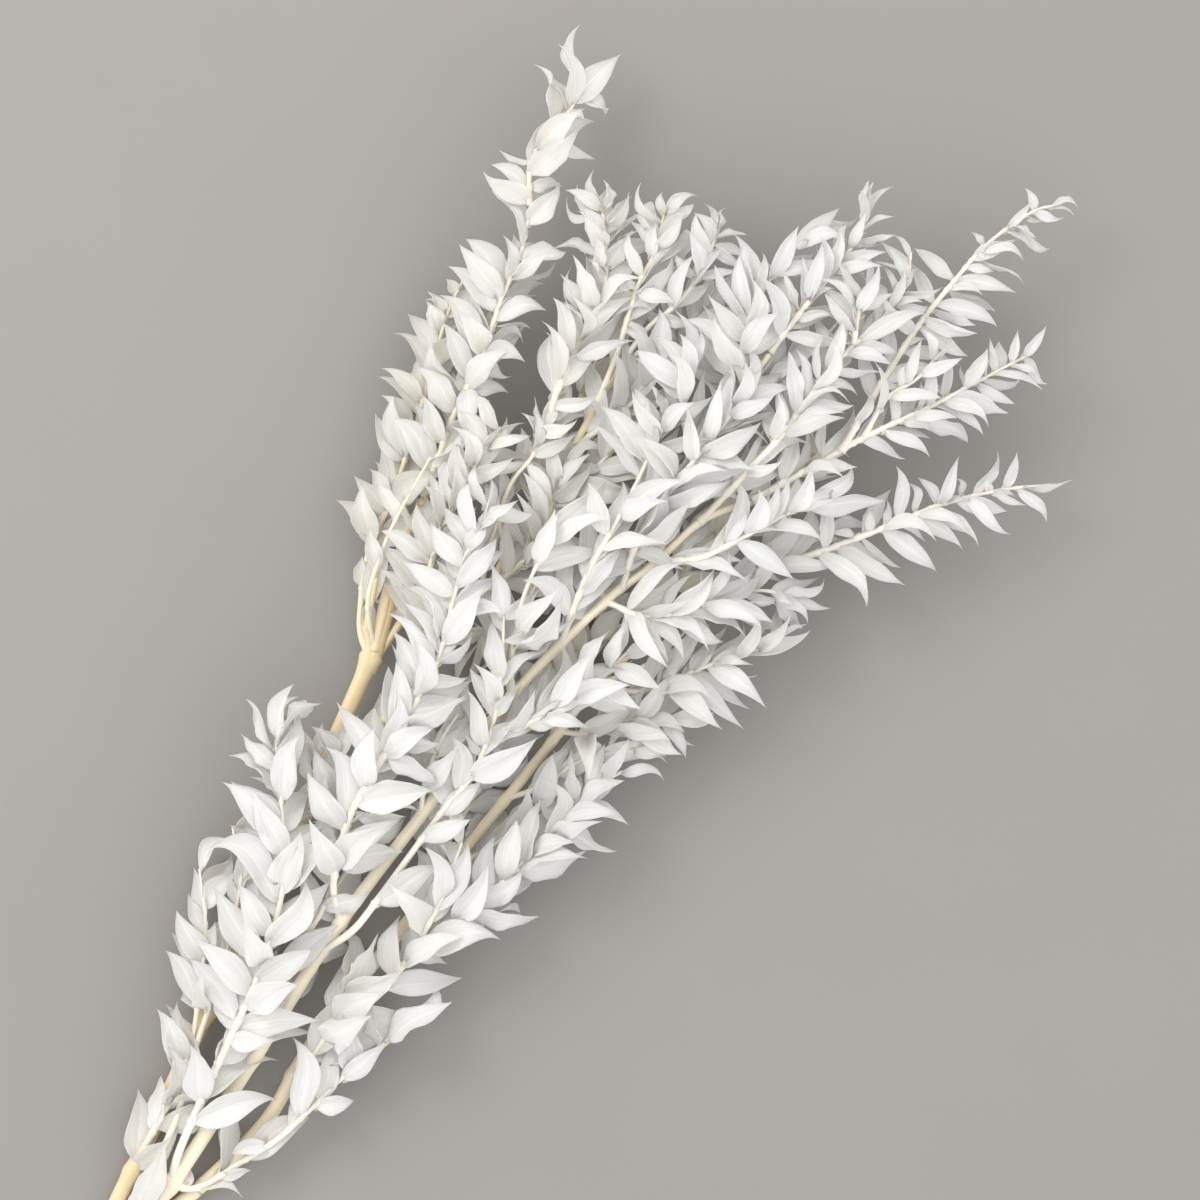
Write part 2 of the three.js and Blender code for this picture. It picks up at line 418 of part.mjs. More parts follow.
// The way from a spot to its leaf's tip: to the listed tip, rising a little, or splayed
// forward to the spot's side of the twig.
function reachOf(twig, line, spot, looser, vary) {
  const { at, along } = placeAt(line, spot.distance);
  if (spot.tip) {
    const reach = new THREE.Vector3(spot.tip[0] - at.x, spot.tip[1] - at.y, 0);
    reach.z = reach.length() * (SEAT.rise + vary(SEAT.riseSpread * looser));
    reach.z = Math.max(reach.z, SEAT.lowest - at.z);
    return { at, along, reach };
  }
  const { left, up } = frameOf(along);
  const turn = spot.rank * (SEAT.turn + vary(SEAT.turnSpread * looser));
  const splay = SEAT.splay + vary(SEAT.splaySpread * looser);
  const outward = up.multiplyScalar(Math.cos(turn)).addScaledVector(left, Math.sin(turn));
  const share = spot.distance / line.total;
  const long = twig.leaf * (1 - SEAT.shorter * share ** 2) * (1 + vary(SEAT.lengthSpread));
  const reach = along.clone().multiplyScalar(long * Math.cos(splay))
    .addScaledVector(outward, long * Math.sin(splay));
  return { at, along, reach };
}

// The leaf at a spot, its face turned mostly to the light. A later attempt is turned, splayed
// or raised further at random.
function leafOn({ twig, line, spots }, order, attempt) {
  const draw = draws(twig.seed * 4096 + order * 32 + attempt);
  const vary = (spread) => spread * (2 * draw() - 1);
  const looser = 1 + SEAT.looser * attempt;
  const { at, along, reach } = reachOf(twig, line, spots[order], looser, vary);
  const long = reach.length();
  const ahead = reach.clone().normalize();
  const outward = ahead.clone().addScaledVector(along, -ahead.dot(along)).normalize();
  const face = new THREE.Vector3(vary(SEAT.faceSpread), vary(SEAT.faceSpread), SEAT.faceUp)
    .addScaledVector(outward, SEAT.faceOut);
  face.addScaledVector(ahead, -face.dot(ahead)).normalize();
  const roll = vary(SEAT.rollSpread * looser)
    + THREE.MathUtils.degToRad(spots[order].roll ?? 0) * (draw() < 0.5 ? -1 : 1);
  const normal = face.clone().multiplyScalar(Math.cos(roll))
    .addScaledVector(face.cross(ahead), Math.sin(roll));
  const across = normal.clone().cross(ahead);
  return {
    at, ahead, normal, across, long,
    half: 0.5 * twig.broad * Math.sqrt(long * twig.leaf) * (1 + vary(SEAT.breadthSpread)),
    fold: SEAT.fold[0] + SEAT.fold[1] * draw() ** 2,
    arch: SEAT.arch[0] + SEAT.arch[1] * draw(),
    curl: SEAT.curl[0] + SEAT.curl[1] * draw(),
    hook: -Math.sign(across.dot(along)) * (SEAT.hook + vary(SEAT.hookSpread)),
  };
}

// A point of the leaf's upper side: share of its length, and -1 to 1 across it. The leaf bows
// away from the straight line between its root and its tip.
function leafPoint(leaf, share, side, half) {
  const bow = share ** 3 - share;
  const bend = leaf.arch * 4 * share * (1 - share) + leaf.curl * bow;
  return leaf.at.clone()
    .addScaledVector(leaf.ahead, leaf.long * share)
    .addScaledVector(leaf.normal, leaf.long * bend + half * leaf.fold)
    .addScaledVector(leaf.across, half * side + leaf.long * leaf.hook * bow);
}

// A leaf's solid: it grows from an upright edge inside the twig, has two rims and a keel
// under the rib, and is drawn to a point. What would pass below the floor lies along it.
function blade(leaf, grow = 0) {
  const rimsAt = (share, half) => [1, -1].map((side) => {
    const rim = leafPoint(leaf, share, side, half + grow).addScaledVector(leaf.normal, grow);
    rim.z = Math.max(rim.z, BLADE.thick);
    return rim;
  });
  const widest = rimsAt(BLADE.widest, leaf.half);
  const keel = leafPoint(leaf, BLADE.widest, 0, 0)
    .addScaledVector(leaf.normal, leaf.half * leaf.fold - BLADE.thick - grow);
  keel.z = Math.max(keel.z, 0);
  const tip = leafPoint(leaf, 1 + grow / leaf.long, 0, 0);
  tip.z = Math.max(tip.z, 0);
  const root = [1, -1].map((side) => leaf.at.clone()
    .addScaledVector(leaf.normal, side * (BLADE.rootHalf + grow)));
  const points = [...root, ...widest, keel, ...rimsAt(BLADE.narrowing, leaf.half * BLADE.narrow), tip];
  return solid(points.flatMap((point) => point.toArray()), BLADE_FACES.flat());
}

const known = (made, node) => ({ solid: made, box: made.boundingBox(), node });

function meets({ solid: one, box }, others) {
  return others.some((other) => {
    const apart = [0, 1, 2].some(
      (i) => box.min[i] > other.box.max[i] || box.max[i] < other.box.min[i]);
    return !apart && !one.intersect(other.solid).isEmpty();
  });
}

const largest = (made) => made.decompose().sort((a, b) => b.volume() - a.volume())[0];

// The wood: every cane, a swollen knuckle at each fork, and the foot's flat underside.
function woodOf(grow = 0) {
  const canes = CANES.map(({ route, from, to }) =>
    tube(smooth(route), from, to, CANE_SIDES, grow));
  const knuckles = FORKS.map(({ at, radius }) =>
    solidOf(new THREE.SphereGeometry(radius * KNUCKLE + grow, 6, 4).translate(...at)));
  const under = solidOf(new THREE.BoxGeometry(2000, 2000, 100).translate(0, 0, -50));
  return wasm.Manifold.union([...canes, ...knuckles]).subtract(under);
}

// A twig's own stem, cut back to stand just clear of the wood.
function stemOf(twig, aroundWood) {
  const route = smooth(twig.route);
  const base = TWIG_BASE + TWIG_GAIN * measured(route).total;
  const whole = tube(route, base, TWIG_TIP, TWIG_SIDES);
  return known(largest(whole.subtract(aroundWood)), twig.node);
}

// The leaf of this order in the first place that is free, or nothing where none is.
function firstFree(plan, order, taken) {
  const { node } = plan.twig;
  const inTheWay = taken.filter((other) => other.node !== node || other.leafy);
  for (let attempt = 0; attempt < ATTEMPTS; attempt++) {
    const leaf = leafOn(plan, order, attempt);
    if (leaf.long < SHORTEST) return [];
    if (!meets(known(blade(leaf, CLEARANCE), node), inTheWay))
      return [{ ...known(blade(leaf), node), leafy: true }];
  }
  return [];
}

// Every leaf, one order at a time over all twigs, so that each twig gets its share of room.
function leavesOf(stems, aroundWood) {
  const plans = TWIGS.map((twig) => {
    const line = measured(smooth(twig.route));
    return { twig, line, spots: spotsOf(twig, line) };
  });
  const most = Math.max(...plans.map((plan) => plan.spots.length));
  const leaves = [];
  for (let order = 0; order < most; order++)
    for (const plan of plans.filter(({ spots }) => order < spots.length))
      leaves.push(...firstFree(plan, order, [known(aroundWood), ...stems, ...leaves]));
  return leaves;
}

function meshOf(made, name, material) {
  const { vertProperties, triVerts } = made.getMesh();
  const geometry = new THREE.BufferGeometry();
  geometry.setAttribute('position', new THREE.BufferAttribute(vertProperties, 3));
  geometry.setIndex(new THREE.BufferAttribute(triVerts, 1));
  geometry.computeVertexNormals();
  const mesh = new THREE.Mesh(geometry, material);
  mesh.name = name;
  return mesh;
}

const cream = new THREE.MeshStandardMaterial({ color: 0xe1cda5, roughness: 0.55, metalness: 0 });
const white = new THREE.MeshStandardMaterial({ color: 0xe6e3dc, roughness: 0.5, metalness: 0 });

TWIGS.forEach((twig, index) => {
  twig.seed = index + 1;
});
const aroundWood = woodOf(GAP);
const stems = TWIGS.map((twig) => stemOf(twig, aroundWood));
const leaves = leavesOf(stems, aroundWood);

// One mesh for the wood and one for each twig, moved so that the origin is under the middle.
const part = new THREE.Group();
part.position.sub(MIDDLE);
part.add(meshOf(woodOf(), 'stem', cream));
for (const node of new Set(TWIGS.map((twig) => twig.node))) {
  const pieces = [...stems, ...leaves].filter((piece) => piece.node === node);
  const twig = largest(wasm.Manifold.union(pieces.map((piece) => piece.solid)));
  part.add(meshOf(twig, `twig_${node}`, white));
}

export default part;
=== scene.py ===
"""A dried, bleached ruscus stem, lying on a pale floor.

One woody stem forks low into long canes, and leafy white twigs grow on the canes. The tables
hold lengths in millimetres, in the routes' own frame, which placed() turns into the model's.
"""
import math
from collections import namedtuple

import bpy
import numpy as np
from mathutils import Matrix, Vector
from mathutils.bvhtree import BVHTree
from mathutils.kdtree import KDTree


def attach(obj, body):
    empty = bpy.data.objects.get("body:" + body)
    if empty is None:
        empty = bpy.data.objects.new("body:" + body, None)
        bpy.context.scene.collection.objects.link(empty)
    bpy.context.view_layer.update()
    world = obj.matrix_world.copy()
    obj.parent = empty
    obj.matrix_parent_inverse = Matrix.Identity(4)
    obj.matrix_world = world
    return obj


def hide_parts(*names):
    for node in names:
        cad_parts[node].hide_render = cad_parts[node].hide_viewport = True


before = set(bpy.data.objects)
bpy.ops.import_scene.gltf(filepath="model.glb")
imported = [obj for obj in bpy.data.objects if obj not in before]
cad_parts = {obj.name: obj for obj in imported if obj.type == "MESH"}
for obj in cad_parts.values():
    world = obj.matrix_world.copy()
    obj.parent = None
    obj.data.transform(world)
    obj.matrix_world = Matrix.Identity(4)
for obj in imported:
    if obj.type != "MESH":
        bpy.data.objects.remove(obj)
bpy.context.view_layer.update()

MM = 0.001
MIDDLE = np.array([286.6, 17.8, 0])  # of the whole stem, in the routes' frame

# The wood. A swelling is given by its height against the radius, and by its half length.
FOOT_Z = 4  # the foot's axis
CANE_SIDES, CANE_SPACING = 20, 1.5
FORK_KNUCKLE, CUP_KNUCKLE, TWIG_KNUCKLE = (0.34, 5.0), (0.38, 9.0), (0.2, 3.0)
CANE_FLARE, LIMB_FLARE = (0.3, 5), (0.5, 14)
CUP_BROADER, CUP_LENGTH = 0.22, 8  # the upper fork's cup is broader than it is deep
NOWHERE = -100  # a distance off every cane, for the canes that have no cup
NEAR_JOINT = 2.5  # a joint is a cane's own within so many times its radius
RING_STEP, RING_RISE, RING_LENGTH = 47, 0.05, 1.3  # a cane's faint rings

# The leafy twigs' stalks and the small dry scales on them.
TWIG_BASE = 1.2  # radius at a short twig's foot
TWIG_GAIN = 0.004  # and what each millimetre of its length adds
TWIG_TIP = 0.7
TWIG_SIDES, TWIG_SPACING = 7, 1.6
TWIG_FLARE, LEAF_KNUCKLE = (0.45, 4), (0.3, 1.3)
SCALE_LONG, SCALE_HALF, SCALE_TONE = 4.5, 0.9, 0.25

# A leaf's blade. A pair is the least and the most of an even draw, or, where it is marked so,
# the spread of a leaf of full size and what the smallest add to it.
LOW, HIGH = (180, 1.18), (300, 0.97)  # x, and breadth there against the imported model's
UPPER = (96, 1.12)  # y, and the least breadth from there on
SMALL, LARGE = 20, 38  # leaf lengths
SMALLER = 0.2  # what the smallest lose in breadth
SLIM = (0.8, 1.08)  # breadth against the rule's
FOOT_ROUND, TIP_POINT = (0.78, 0.98), (1.1, 1.65)  # how full the outline is at either end
LEAST_HALF = 0.34  # the least half breadth at the foot; it narrows to none at the tip
SNAKE_UP, SNAKE_ASIDE = (0.06, 0.05), (0.05, 0.03)  # spreads
HOOK_UP, HOOK_ASIDE = (0.06, 0.05), (0.06, 0.03)  # spreads
TURNED, TWISTED, TIP_TWISTED = (0.14, 0.26), (0.4, 0.4), (0.3, 0.3)  # spreads, in radians
MORE_FOLD, CRISP_FOLD, FOLD_SHAPE = 0.45, 0.4, (1.1, 2.0)
WAVES, RIPPLE = (1, 2.8), (0.08, 0.36)
VEIN = 0.11  # height of a vein
RIB = 0.12  # depth of the groove over the rib
VEINED_HALF = 3  # half breadth from which the veins have their full height
BLADE_THICK, TIP_THINNER = 0.3, 0.6
RIB_THICK, RIB_HALF = 0.4, 0.1
FLOOR_ROOM = 0.15  # between the lowest blades and the floor

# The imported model's rule for its leaves.
TWIG_SEEDS, SPOT_SEEDS = 4096, 32  # seeds that a twig has, and a leaf
SAME_PLACE = 0.1  # how near the same leaf's tips are in both models
LEAF_STEP = 11.2  # twig length for each leaf, where none has a place of its own
LEAF_ROOM = 20  # and how near to one that has the next may stand
ATTEMPTS = 30  # places tried for a leaf
TURN, TURN_SPREAD = 1.25, 0.75  # radians round the twig, from straight up
SPLAY, SPLAY_SPREAD = 0.72, 0.26  # radians away from the twig's own direction
LOOSER = 0.12  # what each later attempt adds to the spreads
RISE, RISE_SPREAD = 0.05, 0.2  # of a listed leaf, against its reach seen from above
LOWEST = 1  # height of the lowest such tip
TIP_INSET = 1.2
FACE_UP, FACE_OUT, FACE_SPREAD = 0.9, 0.25, 0.5
ROLL_SPREAD = 0.4
SHORTER = 0.42  # what the leaves lose in length by the twig's end
LENGTH_SPREAD, BREADTH_SPREAD = 0.14, 0.12
FOLD, ARCH, CURL = (0.12, 0.5), (0.02, 0.06), (-0.2, 0.3)
HOOK, HOOK_SPREAD = 0.14, 0.16

# The leaves that only this model has: they fill in behind the others.
HIDDEN_ORDER = 64  # the first one's order on its twig
HIDDEN_STEP = 1.9  # between the spots where one may grow
HIDDEN_BARE, MOST_BARE = 0.05, 0.9  # how much more of a twig is bare of them, and the most
HIDDEN_TURN, HIDDEN_TURN_SPREAD = 1.7, 1.1
HIDDEN_SPLAY, HIDDEN_SPLAY_SPREAD = 0.85, 0.45
HIDDEN_FACE_SPREAD = 1.2
HIDDEN_LONGER = 1.1
HIDDEN_ATTEMPTS = 16
GAINS = (1, 0.45, 0.15)  # for what no leaf, one or two cover so far
LEAST_GAIN = 60  # square millimetres that one must add
BEYOND_COST = 2  # what one loses for each square millimetre beyond the others
CELL = 2  # of the map of what is covered, seen from above
CLOSED = 13  # half the breadth of the gaps that are filled
CLOSED_RIM, RIM = 5, 7  # the same near the outline, and how near
SHAPES = 12  # that one of the others is tried in, to keep clear of the rest
SHAPE_SEEDS = TWIG_SEEDS * TWIG_SEEDS  # from one shape's seed to the next

# Where the floor shows between the twigs: x, y and radius. No hidden leaf crosses these.
CLEARINGS = [
    (77, 2, 6), (89, -10, 6), (130, -6, 7), (184, -12, 7), (205, -4, 5), (222, 4, 6),
    (292, 67, 6), (308, 41, 7), (427, 92, 9), (442, 97, 10), (455, 104, 9), (149, 22, 5),
    (82, 24, 5), (213, 70, 5), (314, 90, 4), (300, 84, 4), (373, 53, 4), (534, -36, 5),
    (512, -65, 8), (159, 79, 6), (430, -64, 5), (506, 133, 5), (493, 155, 5), (516, 160, 5),
    (552, 175, 5), (566, 140, 4),
]

# Where the canes show between the leaves: from one x and y to another, and the lowest height
# of what would hide them.
SHOWING = [
    (36, 22, 92, 35, 5), (56, 0, 88, 2, 17), (118, 4, 208, 8, 23), (298, 9, 352, 2, 41),
    (352, 2, 392, -5, 44), (408, -10, 436, -15, 48), (48, -21, 108, -18, 7),
    (232, -20, 330, -22, 14), (348, -24, 364, -27, 19),
]
SHOWING_HALF = 3.5  # half the breadth that stays open there

# The forks: each is a swollen knuckle, and the routes below start or pass there.
CROTCH = (-45, 3, 6)
LOW_FORK = (11, -3, 13)
LEFT_FORK = (92, 35, 11)
UPPER_FORK = (287, 77, 17)
MIDDLE_FORK = (405, -9, 50)

Cane = namedtuple("Cane", "name start end route")  # radius at the start and at the end

# Leaf length, breadth against length, the share bare at the foot, the route, and the tips of
# the leaves that have a place of their own: distance along the twig, the tip's x and y and,
# where its blade is turned, by how many degrees.
Twig = namedtuple("Twig", "node leaf broad bare route tips")

CANES = [
    Cane("foot", 5.4, 4.4, [
        (-103, -3, FOOT_Z), (-74, 0, FOOT_Z), CROTCH]),
    Cane("left", 4.1, 4.1, [
        CROTCH, (-15, 13, 6), (22, 20, 8), LEFT_FORK, (163, 49, 13), (236, 65, 15), UPPER_FORK]),
    Cane("left_end", 3.1, 2, [
        UPPER_FORK, (328, 94, 22), (364, 103, 27)]),
    Cane("middle", 3.9, 1.6, [
        CROTCH, (-20, 0, 9), LOW_FORK, (89, 2, 22), (166, 8, 31), (247, 8, 39), (311, 8, 44),
        (377, -1, 48), MIDDLE_FORK, (437, -15, 52), (461, -29, 53)]),
    Cane("right", 3.8, 1.7, [
        CROTCH, (-15, -5, 5), (11, -14, 6), (64, -22, 9), (113, -17, 12), (208, -19, 16),
        (305, -22, 20), (341, -22, 22), (370, -29, 24), (397, -39, 27), (427, -45, 30)]),
    Cane("hidden", 2.8, 1.7, [
        LEFT_FORK, (138, 49, 17), (173, 55, 20), (227, 52, 22), (292, 51, 25), (341, 49, 28),
        (391, 57, 32), (427, 58, 36), (454, 62, 40), (477, 64, 45)]),
    Cane("upper", 1.9, 1.4, [
        MIDDLE_FORK, (429, -4, 55), (460, 2, 59), (495, 7, 61), (525, 8, 61)]),
]

# What the upper fork's cup parts into, before the routes that start there.
LIMBS = [
    Cane("limb_left", 1.9, 1.5, [
        (276, 75.5, 16), (284.5, 79.6, 16), (288.6, 85.6, 15), (293, 90.3, 14), (299, 94.6, 13),
        (306.5, 98.8, 12)]),
    Cane("limb_middle", 2, 1.6, [
        (277, 75, 17), (287, 79.5, 18), (293.5, 85.6, 21), (299.7, 89.6, 24), (308, 93.7, 27.5),
        (317.7, 98.4, 31)]),
    Cane("limb_right", 3.3, 3, [
        (275, 73.5, 16), (287, 76, 16.5), (301.6, 81.3, 17.5), (310.6, 84.9, 18.5),
        (317, 88.5, 20), (328, 94, 22)]),
    Cane("limb_low", 2.2, 1.6, [
        (277, 74, 16), (290, 74.6, 15.5), (302, 74.7, 15.5), (314, 75.5, 17), (330, 76, 20)]),
]

TWIGS = [
    Twig("low_left", 34, 0.38, 0.06, [
        (4, 17, 8), (39, 22, 18), (71, 30, 22), (105, 48, 23), (126, 61, 23), (147, 81, 22)], [
        (2, 38, 12), (5, 39, 39.5), (24, 52, 34), (40, 67, 42), (56, 87, 50), (62, 82, 54),
        (64, 78, 56), (93, 103.5, 70), (109, 112.5, 73), (114, 124, 77.5), (118, 131, 59),
        (128, 134, 78), (134, 145.5, 84)]),
    Twig("low_white", 36, 0.38, 0.12, [
        LOW_FORK, (29, 4, 22), (73, 14, 32), (115, 23, 40), (161, 39, 46), (188, 58, 48),
        (207, 75, 48), (224, 89, 46), (240, 93, 43)], [
        (36, 78, -21), (50, 94.5, -9.5), (82, 104, -3), (88, 125, 44.5), (91, 124, -14),
        (112, 140, 44), (125, 145.5, 70), (134, 176, 36), (142, 184, 25), (150, 166, 72),
        (158, 157, 84), (164, 203, 35), (179, 196, 82), (189, 189.5, 98), (196, 192, 95),
        (208, 233, 80), (212, 202, 103), (215, 240, 87), (225, 214.5, 105), (232, 230, 113, 50),
        (236, 251, 81), (240, 251, 98), (246, 247, 92.5, 40)]),
    Twig("low_ivory", 34, 0.38, 0.5, [
        (-20, 0, 9), (-2, 6, 14), (14, 9, 16), (40, 15, 18), (73, 28, 23), (103, 38, 27),
        (134, 50, 31), (159, 63, 32), (174, 80, 31)], [
        (7, 27, 12.5), (150, 140, 63), (161, 146, 64), (175, 154, 65.5), (205, 174, 82)]),
    Twig("low_curl", 34, 0.38, 0.1, [
        LOW_FORK, (18, -15, 14), (43, -25, 18), (62, -32, 21), (82, -36, 23), (109, -40, 25),
        (134, -46, 26), (154, -53, 25)], [
        (6, 24, -4), (14, 27.5, -36.5), (26, 50, -4), (27, 41, -31.5), (42, 80.5, -39),
        (56, 42, -18), (78, 108, -7), (86, 100.5, -51.5), (106, 136, -49), (136, 171, -60.5)]),
    Twig("low_broad", 40, 0.44, 0.1, [
        (90, -18, 11), (101, -21, 22), (119, -20, 28), (141, -16, 32), (156, -9, 33)], [
        (22, 144, -14), (32, 152, -48), (44, 158.5, -2.5), (58, 177, -10)]),
    Twig("mid_left", 34, 0.38, 0.1, [
        (89, 2, 22), (112, 14, 29), (139, 18, 32), (167, 19, 34), (194, 28, 36), (218, 44, 37),
        (236, 60, 36)], [
        (22, 122, 5), (46, 168, 8), (62, 158, 27), (116, 200, 50), (120, 213, 58), (124, 228, 60),
        (137, 231, 72)]),
    Twig("left_small", 30, 0.38, 0.1, [
        (181, 55, 19), (203, 59, 26), (221, 64, 29), (239, 69, 30)], [
        (2, 204, 52), (14, 228, 56), (36, 232, 75), (46, 243, 76)]),
    Twig("right_low", 36, 0.36, 0.08, [
        (147, -22, 14), (157, -29, 24), (177, -30, 29), (194, -34, 32), (213, -40, 34),
        (242, -46, 35), (274, -50, 35), (297, -53, 34), (314, -59, 32)], [
        (12, 183, -58), (20, 190, -13.5), (30, 199, -23), (36, 184, -47.5), (43, 210, -62),
        (72, 231, -70), (76, 247, -47), (105, 271.5, -69), (106, 279, -35), (119, 258.5, -56.5),
        (126, 290, -48), (135, 281, -81), (149, 294.5, -78), (152, 309.5, -61.5)]),
    Twig("right_low", 34, 0.38, 0.1, [
        (177, -30, 29), (199, -27, 38), (217, -23, 44), (238, -16, 46)], [
        (18, 227, -12.5), (26, 241, -17)]),
    Twig("slender", 34, 0.38, 0.42, [
        (152, 7, 30), (168, 1, 38), (188, 0, 42), (248, 1, 48), (269, 0, 51), (297, 8, 56),
        (322, 22, 60), (342, 36, 61)], [
        (38, 223, -16), (78, 250, -13), (94, 270, -7), (109, 277, 21), (118, 303, -15),
        (130, 305, -3), (131, 282.5, 17), (140, 308, 31), (150, 310, 33), (151, 316, 8),
        (168, 338, 40), (200, 358, 57)]),
    Twig("long_left", 36, 0.38, 0.06, [
        (169, 8, 31), (183, 23, 42), (211, 35, 50), (226, 38, 53), (279, 44, 58), (303, 48, 60),
        (328, 58, 62), (353, 68, 62), (380, 73, 60)], [
        (34, 216.5, 4), (40, 230, 14), (60, 231, 14), (66, 250, 11), (84, 262, 24),
        (86, 256.5, 76), (94, 279, 56), (96, 253, 11), (98, 266, 18), (102, 272, 21),
        (104, 286, 66), (118, 297, 25), (126, 296, 72), (130, 301, 76), (133, 306, 31),
        (139, 311, 66), (146, 325, 43), (148, 336, 45), (152, 316, 80), (156, 347, 51),
        (190, 364, 61.5), (204, 373, 71)]),
    Twig("behind_left", 32, 0.38, 0.08, [
        (292, 51, 25), (315, 64, 32), (340, 80, 38), (367, 88, 43), (397, 92, 47), (415, 93, 47)], [
        (44, 331, 97), (55, 347, 101), (66, 358, 95), (70, 376, 79), (98, 416, 89), (110, 424, 84),
        (118, 421.5, 94)]),
    Twig("behind_mid", 32, 0.38, 0.08, [
        (341, 49, 28), (358, 46, 34), (377, 43, 39), (398, 49, 42), (421, 57, 43)], [
        (62, 430, 47), (80, 426, 64)]),
    Twig("behind_up", 30, 0.36, 0.08, [
        (366, 53, 30), (379, 66, 38), (396, 72, 44), (415, 72, 48), (436, 81, 48)], [
        (20, 373.5, 45), (52, 398, 49), (58, 431, 84), (66, 426.5, 89.5), (70, 437.5, 89)]),
    Twig("mid_up", 36, 0.35, 0.06, [
        (345, 3, 46), (370, 11, 56), (395, 16, 62), (423, 20, 66), (448, 25, 68), (469, 29, 67)], [
        (28, 404, 8), (36, 408, 10), (96, 443, 57), (104, 453, 60)]),
    Twig("mid_right", 36, 0.34, 0.06, [
        (387, -4, 49), (406, 3, 58), (429, 7, 64), (455, 6, 69), (482, 5, 71), (504, 6, 70)], [
        (20, 413, -24, 50), (21, 432, 24), (22, 442, 8.5), (44, 446, 34), (61, 450, 41),
        (63, 453, 36), (76, 473, -21), (102, 517, 6)]),
    Twig("mid_whorl", 36, 0.36, 0.06, [
        (311, 8, 44), (329, 21, 54), (352, 32, 60), (375, 38, 63), (399, 44, 63)], [
        (6, 346, 21), (24, 358, 30), (68, 397, 15), (70, 399, 47), (82, 410, 20), (84, 425, 35)]),
    Twig("over_cane", 36, 0.38, 0.08, [
        (272, 8, 41), (293, -2, 50), (316, -11, 55), (341, -20, 55), (363, -25, 52)], [
        (36, 335, -33), (44, 322, -33), (50, 356, -30), (58, 354, -22)]),
    Twig("right_mid", 34, 0.36, 0.08, [
        (311, -22, 20), (319, -35, 27), (335, -45, 31), (346, -56, 32), (352, -70, 30)], [
        (34, 356, -46), (44, 348, -73), (52, 338, -81), (57, 346, -81)]),
    Twig("right_tuft", 32, 0.37, 0.08, [
        (266, -20, 18), (283, -31, 25), (303, -38, 29), (319, -48, 30), (326, -60, 28)], [
        (16, 311, -31), (54, 330.5, -75), (58, 312, -30), (60, 338, -52), (72, 333.5, -72.5)]),
    Twig("right_reach", 34, 0.32, 0.08, [
        (345, -22, 22), (348, -38, 29), (360, -49, 34), (380, -60, 36), (397, -73, 36),
        (413, -83, 35)], [
        (32, 396, -49), (36, 361, -87), (50, 405, -57), (51, 367.5, -95.5), (60, 382.5, -98),
        (61, 402.5, -70.5, 50), (63, 396, -79.5), (67, 393.5, -84.5), (76, 415, -73.5),
        (80, 427.5, -91.5), (88, 428.5, -88.5, 50)]),
    Twig("right_fan", 32, 0.33, 0.06, [
        (377, -1, 48), (382, -19, 56), (395, -34, 58), (410, -44, 56), (415, -60, 51)], [
        (14, 412, -20), (28, 415, -28), (50, 420, -30), (52, 412, -73), (61, 418.5, -75),
        (62, 426, -73.5)]),
    Twig("tip_fan", 32, 0.33, 0.05, [
        (403, -41, 27), (420, -52, 36), (430, -63, 39), (434, -76, 39)], [
        (8, 429, -53), (24, 434, -69), (40, 433, -77), (41, 428.5, -89), (46, 442.5, -93.5)]),
    Twig("tip_low", 29, 0.33, 0.08, [
        (427, -45, 30), (448, -63, 34), (480, -84, 36), (500, -96, 36), (518, -107, 34),
        (542, -127, 31), (561, -148, 28)], [
        (6, 469, -56), (12, 438, -68, 55), (14, 461, -83), (27, 460, -75), (43, 452.5, -106.5),
        (53, 473.5, -116.5), (64, 471.5, -70), (66, 479.5, -109.5), (70, 495, -78),
        (77, 488.5, -125), (79, 502.5, -82.5), (86, 497, -111), (95, 505, -128.5),
        (96, 514.5, -85), (103, 510.5, -134), (107, 520.5, -88.5), (112, 528, -110),
        (120, 531.5, -104), (121, 526, -143.5), (134, 541, -116), (136, 542, -133.5),
        (142, 561, -120.5), (148, 541.5, -154), (152, 567, -152, 75)]),
    Twig("tip_fill", 32, 0.33, 0.06, [
        (409, -10, 50), (423, -26, 60), (445, -37, 63), (466, -47, 61), (482, -55, 57)], [
        (5, 434, -44), (38, 456, -28), (50, 473, -45), (74, 495, -63.5), (80, 501, -82.5),
        (83, 505.5, -57)]),
    Twig("tip_mid", 28, 0.34, 0.04, [
        (461, -29, 53), (492, -43, 52), (520, -55, 50), (552, -72, 48), (584, -87, 45),
        (601, -95, 43)], [
        (62, 524, -78, 60), (74, 531.5, -87.5), (81, 560, -53), (84, 542, -80), (91, 549.5, -98.5),
        (94, 559, -60), (103, 556.5, -102), (107, 560.5, -102), (109, 562, -58), (111, 575, -61),
        (112, 573, -105.5), (120, 578, -72), (126, 578.5, -105), (131, 591, -86),
        (136, 592.5, -112.5), (137, 597.5, -74.5), (147, 594, -106), (148, 609.5, -84),
        (153, 597, -112.5), (154, 620, -94)]),
    Twig("tip_mid", 26, 0.36, 0.1, [
        (520, -55, 50), (541, -52, 54), (558, -58, 55), (575, -60, 53)], [
        (12, 540, -51.5), (30, 562, -50), (52, 584, -62)]),
    Twig("tip_mid", 27, 0.34, 0.1, [
        (507, -50, 51), (533, -47, 51), (554, -45, 50), (582, -43, 48), (610, -44, 45),
        (634, -46, 42), (660, -54, 40), (671, -62, 38)], [
        (14, 540.5, -41), (40, 551, -57), (62, 578, -51), (74, 583.5, -72), (84, 598, -66, 60),
        (88, 604, -75), (98, 612, -60), (103, 610.5, -18), (104, 623.5, -72.5), (112, 625, -57),
        (119, 629, -73, 65), (122, 638, -66.5), (126, 634, -36), (138, 647.5, -67, 60),
